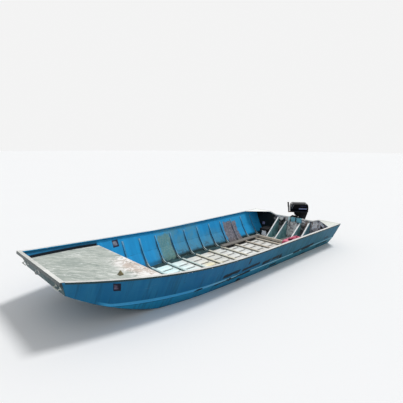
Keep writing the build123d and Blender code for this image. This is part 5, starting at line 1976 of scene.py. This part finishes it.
@dataclass
class MotorCover:
    """The motor's gloss cover, a shell with round shoulders, turned with the motor."""

    made: dict[str, Finish]
    foot: float = 0.5063
    top: float = 0.69
    fore: float = 0.15
    aft: float = 0.214
    half: float = 0.129
    corner: float = 0.062
    corner_steps: int = 12
    # Share of the height and growth of the plan, from the foot up
    profile: tuple[Flat, ...] = (
        (0.0, 0.0), (0.012, 0.0022), (0.04, 0.0034), (0.16, 0.0045), (0.28, 0.0055), (0.4, 0.006), (0.52, 0.005),
        (0.62, 0.0022), (0.72, -0.0022), (0.8, -0.0078), (0.87, -0.015), (0.92, -0.0225), (0.955, -0.03),
        (0.978, -0.0375), (0.991, -0.0455), (0.998, -0.0535), (1.0, -0.06),
    )

    def ring(self, height: float, grow: float) -> list[Point]:
        """One level section of the cover, in the boat's frame.

        Args:
            height: its height.
            grow: how far its outline is outside the plan.

        Returns:
            The section's points, once round.
        """
        side = []
        for middle, start in ((self.fore - self.corner, 0.0), (self.corner - self.aft, 90.0)):
            for step in range(self.corner_steps + 1):
                angle = math.radians(start + 90.0 * step / self.corner_steps)
                reach = self.corner + grow
                side.append((middle + reach * math.cos(angle), self.half - self.corner + reach * math.sin(angle)))
        plan = side + [(fore, -out) for fore, out in side[::-1]]
        cosine, sine = math.cos(MOTOR_TURN), math.sin(MOTOR_TURN)
        return [(STEERING + u * cosine - v * sine, u * sine + v * cosine, height) for u, v in plan]

    def make(self) -> None:
        """Build the shell and hang it on the motor."""
        shape = Shape()
        tall = self.top - self.foot
        shape.ring_loft([self.ring(self.foot + tall * share, grow) for share, grow in self.profile])
        piece = shape.piece("motor_cover")
        softened(piece, 0.0, corner=34.0)
        handed_in(piece, self.made["cowl"], "motor", "motor_cowl")


@dataclass(frozen=True)
class Fittings:
    """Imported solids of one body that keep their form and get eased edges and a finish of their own."""

    body: str
    # Finish of each solid and the width of its eased edges
    solids: dict[str, tuple[str, float]]
    # Solids bent from round rod, whose eased edges have more faces
    rods: tuple[str, ...] = ("bow_handles", "bow_eye")

    def make(self, made: dict[str, Finish]) -> None:
        """Stand a softened copy in each solid's place.

        Args:
            made: the finishes.
        """
        for node, (finish, width) in self.solids.items():
            piece = copied(node, f"{node}_finished")
            softened(piece, width, 3 if node in self.rods else 2)
            handed_in(piece, made[finish], self.body, node)


STRUCTURE = Fittings("hull", {
    "transom": ("transom", 0.0008), "transom_cap": ("sill", 0.001),
    "bow_plate": ("bow", 0.0008), "bow_cap": ("cap", 0.0016),
    "deck_ledgers": ("rib", 0.0008), "deck_beam": ("rib", 0.003),
    "floor_ribs": ("floor_rib", 0.0055), "cross_member": ("floor_rib", 0.0055),
    "transom_knees": ("knee", 0.001), "motor_pad": ("pad", 0.002),
    "corner_plate_port": ("corner", 0.001), "corner_plate_starboard": ("corner_white", 0.001),
    "bow_handles": ("corner", 0.0018), "bow_eye": ("steel", 0.0015),
    "side_floorboard": ("board", 0.002),
})
CARRIED = Fittings("hull", {
    "battery_box": ("battery", 0.003), "battery_lid": ("battery", 0.005),
    "fuel_tank": ("tank", 0.016), "fuel_cap": ("tank_cap", 0.003), "tank_handle": ("tank", 0.005),
    "deck_wedge": ("wedge", 0.0015),
})
CLAMP = Fittings("hull", {
    "clamp_bracket": ("cast", 0.002), "clamp_screws": ("steel", 0.0008), "tilt_tube": ("steel", 0.001),
})
SWIVEL = Fittings("tilt_unit", {"swivel_bracket": ("cast", 0.002)})
MOTOR = Fittings("motor", {
    "motor_leg": ("cast", 0.006), "steering_pivot": ("cast", 0.0015), "cowl_base": ("pan", 0.008),
    "gearcase": ("cast", 0.003),
})
PROPELLER = Fittings("propeller", {"propeller": ("propeller", 0.001)})
KNUCKLE = Fittings("motor", {"tiller_bracket": ("knuckle", 0.0015)})
TILLER = Fittings("tiller", {"tiller_arm": ("cast", 0.0015), "tiller_grip": ("grip", 0.002)})


def finishes() -> dict[str, Finish]:
    """Build every material, each once.

    Returns:
        The finishes by the names that the pieces use.
    """
    recipes = {
        "hull": ("hull_paint", HullEnamel()),
        "floor": ("floor_metal", BareSheet()),
        "rail": ("rail_metal", RailMetal("rail_metal", (0.84, 0.83, 0.8), (0.58, 0.58, 0.56))),
        # The cap's sides get dark grey enamel, darkened as painted shade under its top
        "cap": ("rail_metal", RailMetal("bow_cap_metal", (0.86, 0.86, 0.82), (0.56, 0.57, 0.54),
            (0.09, 0.11, 0.115), (0.09, 0.11, 0.115), 0.92)),
        "corner": ("rail_metal", RailMetal("corner_metal", (0.78, 0.8, 0.74), (0.6, 0.62, 0.57), paint_left=0.1)),
        "corner_white": ("rail_metal", RailMetal("corner_white", (1.0, 1.0, 0.97), (0.92, 0.94, 0.9),
            paint_left=0.1)),
        "sill": ("rail_metal", RailMetal("transom_cap_metal", (0.96, 0.95, 0.91), (0.7, 0.71, 0.69),
            paint_left=0.1, middle_place=(-0.115, 0.19))),
        "rib": ("inner_paint", RibEnamel()),
        "floor_rib": ("floor_metal", FloorRibMetal()),
        "knee": ("knee_paint", PlainEnamel("knee_enamel", (0.38, 0.66, 0.68), (0.13, 0.32, 0.34),
            (1.0, 1.0, 0.99), 0.35, 1.0)),
        "pad": ("pad_paint", RailMetal("pad_metal", (0.7, 0.68, 0.66), (0.4, 0.38, 0.38), paint_left=0.0,
            middle_place=(-0.115, 0.2))),
        "transom": ("hull_paint", TransomEnamel()),
        "bow": ("hull_paint", BowEnamel()),
        "bead": ("hull_paint", PlainEnamel("weld_enamel", (0.03, 0.16, 0.24), (0.014, 0.09, 0.15),
            (0.4, 0.46, 0.48), 1.2, 0.3)),
        "rivet": ("hull_paint", PlainEnamel("rivet_enamel", (0.04, 0.13, 0.17), (0.02, 0.08, 0.11),
            (0.3, 0.34, 0.34), 1.2, 0.3)),
        "ply": ("deck_sheet", WeatheredPly()),
        "board": ("board_wood", WeatheredBoard("weathered_board", (0.3, 0.28, 0.25), (0.13, 0.115, 0.1))),
        "wedge": ("wedge_wood", WeatheredBoard("wedge_wood", (0.3, 0.26, 0.12), (0.14, 0.11, 0.05),
            (30.0, 30.0, 6.0))),
        "cowl": ("cowl_gloss", GlossCowl()),
        "cast": ("motor_paint", CastPaint()),
        "propeller": ("propeller_metal", CastPaint("propeller_metal", (0.3, 0.3, 0.3), (0.55, 0.55, 0.55),
            0.6, 0.6)),
        "tank": ("tank_red", MouldedPlastic("tank_red", (0.5, 0.04, 0.09), (0.86, 0.25, 0.36), 0.42)),
        "grip": ("grip_rubber", MouldedPlastic("grip_rubber", (0.016, 0.013, 0.012), (0.038, 0.03, 0.027),
            0.6, 150.0)),
        "battery": ("black_plastic", MouldedPlastic("battery_plastic", (0.006, 0.006, 0.007),
            (0.018, 0.018, 0.02), label=(-0.545, -0.43, -0.035, 0.07))),
        "pan": ("black_plastic", MouldedPlastic("cover_pan_plastic", (0.004, 0.004, 0.004), (0.012, 0.012, 0.013))),
        "tank_cap": ("black_plastic", MouldedPlastic("tank_cap_plastic", (0.075, 0.008, 0.018),
            (0.15, 0.02, 0.04))),
        "knuckle": ("motor_paint", CastPaint("knuckle_enamel", (0.3, 0.17, 0.11), (0.62, 0.48, 0.38))),
        "steel": ("fitting_metal", GalvanisedSteel()),
    }
    return {name: (recipe.make(), slot) for name, (slot, recipe) in recipes.items()}


def main() -> None:
    """Build the stage, the boat and its motor, and report each piece."""
    logging.basicConfig(level=logging.INFO, format="%(message)s")
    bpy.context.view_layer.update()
    Studio().make()
    form = HullForm()
    WaterlineFloor(form).make()
    made = finishes()
    shell, deck, ribs = HullShell(form, made), ForeDeck(form, made), RibSet(form, made)
    shell.bottom()
    for side in Side:
        shell.side(side)
        shell.rail(side)
    deck.sheet()
    deck.screws()
    for side in Side:
        ribs.legs(side)
    ribs.rivets()
    shell.welds()
    MotorCover(made).make()
    for fittings in (STRUCTURE, CARRIED, CLAMP, SWIVEL, MOTOR, PROPELLER, KNUCKLE, TILLER):
        fittings.make(made)


if __name__ == "__main__":
    main()
